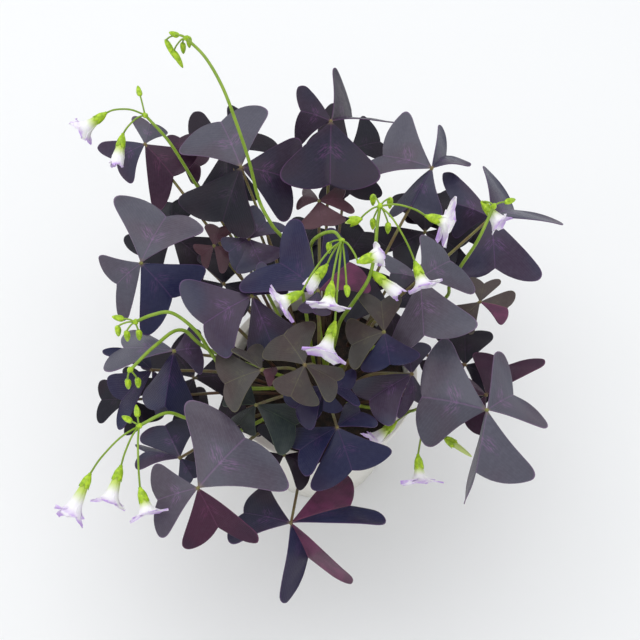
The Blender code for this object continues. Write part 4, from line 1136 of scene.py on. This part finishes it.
class SHAMROCK_OT_pot(bpy.types.Operator):
    """Model the pot: a tapered wall, a rolled rim and drain holes"""

    bl_idname = "shamrock.pot"
    bl_label = "Pot"

    def execute(self, context):
        look = context.scene.shamrock_pot
        profile = self.profile()
        deselect()
        bpy.ops.mesh.primitive_circle_add(vertices=look.sides, radius=profile[0][0], fill_type="NGON",
                                          location=(0, 0, 0))
        pot = bpy.context.object
        bpy.ops.object.mode_set(mode="EDIT")
        bpy.ops.mesh.select_all(action="SELECT")
        for (radius, height), (after, above) in zip(profile, profile[1:]):
            bpy.ops.mesh.extrude_region_move(TRANSFORM_OT_translate={"value": (0, 0, above - height)})
            bpy.ops.transform.resize(value=(after / radius, after / radius, 1.0),
                                     center_override=(0, 0, above))
        bpy.ops.mesh.select_all(action="SELECT")
        bpy.ops.mesh.normals_make_consistent(inside=False)
        bpy.ops.object.mode_set(mode="OBJECT")
        pot.data.materials.append(material("pot"))
        for k in range(DRAIN_COUNT):
            self.drain(pot, 2 * math.pi * (k + 0.5) / DRAIN_COUNT)
        seat(join("moulded_pot", [pot], 35), "pot")
        return {"FINISHED"}

    def profile(self):
        """Radii and heights from the base, over the rim, to the inner floor."""
        rim_foot = POT_HEIGHT - RIM_HEIGHT
        slope = (POT_TOP_RADIUS - POT_BASE_RADIUS) / POT_HEIGHT
        wall = POT_BASE_RADIUS + slope * rim_foot
        outer = wall + RIM_OVERHANG
        lip = POT_TOP_RADIUS + RIM_OVERHANG
        inner = POT_TOP_RADIUS - POT_WALL
        return (
            (POT_BASE_RADIUS - 0.001, 0.0), (POT_BASE_RADIUS - 0.0003, 0.0003), (POT_BASE_RADIUS, 0.001),
            (POT_BASE_RADIUS + slope * 0.03, 0.030), (POT_BASE_RADIUS + slope * 0.06, 0.060),
            (wall - 0.0001, rim_foot - 0.0006), (wall + 0.0006, rim_foot),
            (outer - 0.0006, rim_foot + 0.0004), (outer, rim_foot + 0.0012),
            (lip - 0.0003, POT_HEIGHT - 0.0028), (lip, POT_HEIGHT - 0.0018),
            (lip - 0.0004, POT_HEIGHT - 0.0005), (lip - 0.0013, POT_HEIGHT),
            (inner + 0.0008, POT_HEIGHT), (inner, POT_HEIGHT - 0.0008),
            (POT_BASE_RADIUS - POT_WALL, POT_FLOOR),
        )

    def drain(self, pot, turn):
        """Cut one drain hole through the floor."""
        centre = (DRAIN_CIRCLE * math.cos(turn), DRAIN_CIRCLE * math.sin(turn), POT_FLOOR / 2)
        deselect()
        bpy.ops.mesh.primitive_cylinder_add(vertices=24, radius=DRAIN_RADIUS, depth=POT_FLOOR * 3,
                                            location=centre)
        cutter = bpy.context.object
        apply_modifier(pot, "drain", "BOOLEAN", operation="DIFFERENCE", object=cutter, solver="EXACT")
        bpy.data.objects.remove(cutter, do_unlink=True)


class SHAMROCK_OT_soil(bpy.types.Operator):
    """Model the crumbly soil that fills the pot"""

    bl_idname = "shamrock.soil"
    bl_label = "Soil"

    def execute(self, context):
        chance = random.Random(11)
        ranges = ((-LUMP_SPREAD, LUMP_SPREAD), (-LUMP_SPREAD, LUMP_SPREAD), (0.002, 0.005), (-0.0009, 0.0011))
        lumps = [[chance.uniform(*limits) for limits in ranges] for _ in range(LUMP_COUNT)]
        foot = POT_FLOOR + SOIL_GAP
        edge_radius = self.soil_radius(SOIL_LEVEL)
        foot_radius = self.soil_radius(foot)
        edge_height = soil_height(edge_radius, 0)

        def place(column, row):
            """Rows run over the top from its middle, down the side, and over the foot to its middle."""
            if row < SOIL_TOP_ROWS:
                radius = edge_radius * row / SOIL_TOP_ROWS
            elif row < SOIL_SIDE_ROWS:
                part = (row - SOIL_TOP_ROWS) / (SOIL_SIDE_ROWS - SOIL_TOP_ROWS)
                radius = edge_radius + (foot_radius - edge_radius) * part
                height = edge_height + (foot - edge_height) * part
            else:
                radius = foot_radius * (1 - row) / (1 - SOIL_SIDE_ROWS)
                height = foot
            x, y = radius * math.cos(2 * math.pi * column), radius * math.sin(2 * math.pi * column)
            if row < SOIL_TOP_ROWS:
                height = soil_height(x, y)
                for px, py, size, rise in lumps:
                    gap = ((x - px) ** 2 + (y - py) ** 2) / size ** 2
                    if gap < 4:
                        height += rise * math.exp(-gap)
                height = min(height, SOIL_LEVEL + SOIL_DOME)
            return Vector((x, y, height))

        deselect()
        bpy.ops.mesh.primitive_grid_add(x_subdivisions=120, y_subdivisions=60, size=1.0, location=(0, 0, 0))
        soil = bpy.context.object
        for vertex in soil.data.vertices:
            vertex.co = place(vertex.co.x + 0.5, vertex.co.y + 0.5)
        weld(soil, outward=True)
        soil.data.materials.append(material("soil"))
        seat(join("potting_soil", [soil], 60), "soil")
        return {"FINISHED"}

    def soil_radius(self, height):
        """Radius of the soil at a height: that of the pot's inside less a small gap."""
        share = (height - POT_FLOOR) / (POT_HEIGHT - POT_CHAMFER - POT_FLOOR)
        inside = POT_BASE_RADIUS - POT_WALL + (POT_TOP_RADIUS - POT_BASE_RADIUS) * share
        return inside - SOIL_GAP - SOIL_INSET


class SHAMROCK_OT_stage(bpy.types.Operator):
    """Set the pale floor, the soft lights and the camera at the photo's viewing angle"""

    bl_idname = "shamrock.stage"
    bl_label = "Stage"

    def execute(self, context):
        look = context.scene.shamrock_stage
        deselect()
        bpy.ops.mesh.primitive_plane_add(size=12.0, location=(0, 0, 0))
        floor = bpy.context.object
        floor.name = "pale_floor"
        skin, add, place = start_material("pale matt paper")
        shade = add("TexNoise", {"Vector": place, "Scale": 1000 / 900.0, "Detail": 3.0})
        shade = add("Math", {0: shade, 1: 0.15}, operation="MULTIPLY")
        grain = add("TexNoise", {"Vector": place, "Scale": 1000 / 3.0, "Detail": 3.0})
        finish_material(skin, (*look.floor_colour, 1.0), ((shade, "#dcdcda"),), grain, (0.02, 0.0001),
                        Roughness=0.85)
        floor.data.materials.append(skin)
        self.lamp("top_softbox", (-0.25, 0.35, 1.9), 2.2, look.key_power)
        self.lamp("front_softbox", (0.9, -1.5, 1.3), 1.4, look.fill_power)
        self.lamp("side_softbox", (-1.6, -0.5, 0.9), 1.2, look.fill_power * 0.6)
        world = bpy.data.worlds.new("pale_surroundings")
        world.use_nodes = True
        sky = world.node_tree.nodes["Background"].inputs
        sky["Color"].default_value = hex_colour("#f9fcff")
        sky["Strength"].default_value = look.sky
        context.scene.world = world
        context.scene.view_settings.view_transform = "Standard"
        deselect()
        bpy.ops.object.camera_add(location=VIEW_EYE, rotation=(math.pi / 2 - VIEW_DOWN, 0.0, 0.0))
        camera = bpy.context.object
        camera.name = "photo_camera"
        camera.data.sensor_width = SENSOR_WIDTH_MM
        camera.data.lens = SENSOR_WIDTH_MM * PIXELS_PER_UNIT_SLOPE / (2 * PICTURE_MIDDLE)
        context.scene.camera = camera
        return {"FINISHED"}

    def lamp(self, name, place, size, power):
        """A square area light that faces the plant."""
        data = bpy.data.lights.new(name, "AREA")
        data.shape = "SQUARE"
        data.size = size
        data.energy = power
        lamp = bpy.data.objects.new(name, data)
        lamp.location = place
        lamp.rotation_euler = (VIEW_CENTRE - Vector(place)).to_track_quat("-Z", "Y").to_euler()
        bpy.context.scene.collection.objects.link(lamp)


class SHAMROCK_PT_panel(bpy.types.Panel):
    """Buttons and sizes for each group of pieces"""

    bl_label = "Purple shamrock"
    bl_idname = "SHAMROCK_PT_panel"
    bl_space_type = "VIEW_3D"
    bl_region_type = "UI"
    bl_category = "Shamrock"

    def draw(self, context):
        for look_name in LOOKS:
            box = self.layout.box()
            look = getattr(context.scene, look_name)
            for key in look.bl_rna.properties.keys():
                if key not in ("rna_type", "name"):
                    box.prop(look, key)
        for step in STEPS:
            self.layout.operator("shamrock." + step)


LOOKS = {
    "shamrock_leaf": ShamrockLeafLook,
    "shamrock_flower": ShamrockFlowerLook,
    "shamrock_pot": ShamrockPotLook,
    "shamrock_stage": ShamrockStageLook,
}
STEPS = ("stage", "pot", "soil", "leaves", "flower_stalks", "petals")
CLASSES = (
    *LOOKS.values(),
    SHAMROCK_OT_leaves,
    SHAMROCK_OT_flower_stalks,
    SHAMROCK_OT_petals,
    SHAMROCK_OT_pot,
    SHAMROCK_OT_soil,
    SHAMROCK_OT_stage,
    SHAMROCK_PT_panel,
)


def register():
    """Register the classes and hang the looks on the scene."""
    for cls in CLASSES:
        bpy.utils.register_class(cls)
    for name, cls in LOOKS.items():
        setattr(bpy.types.Scene, name, PointerProperty(type=cls))


def unregister():
    """Undo register."""
    for name in LOOKS:
        delattr(bpy.types.Scene, name)
    for cls in reversed(CLASSES):
        bpy.utils.unregister_class(cls)


def main():
    """Build every piece."""
    register()
    for step in STEPS:
        getattr(bpy.ops.shamrock, step)()
    deselect()


if __name__ == "__main__":
    main()
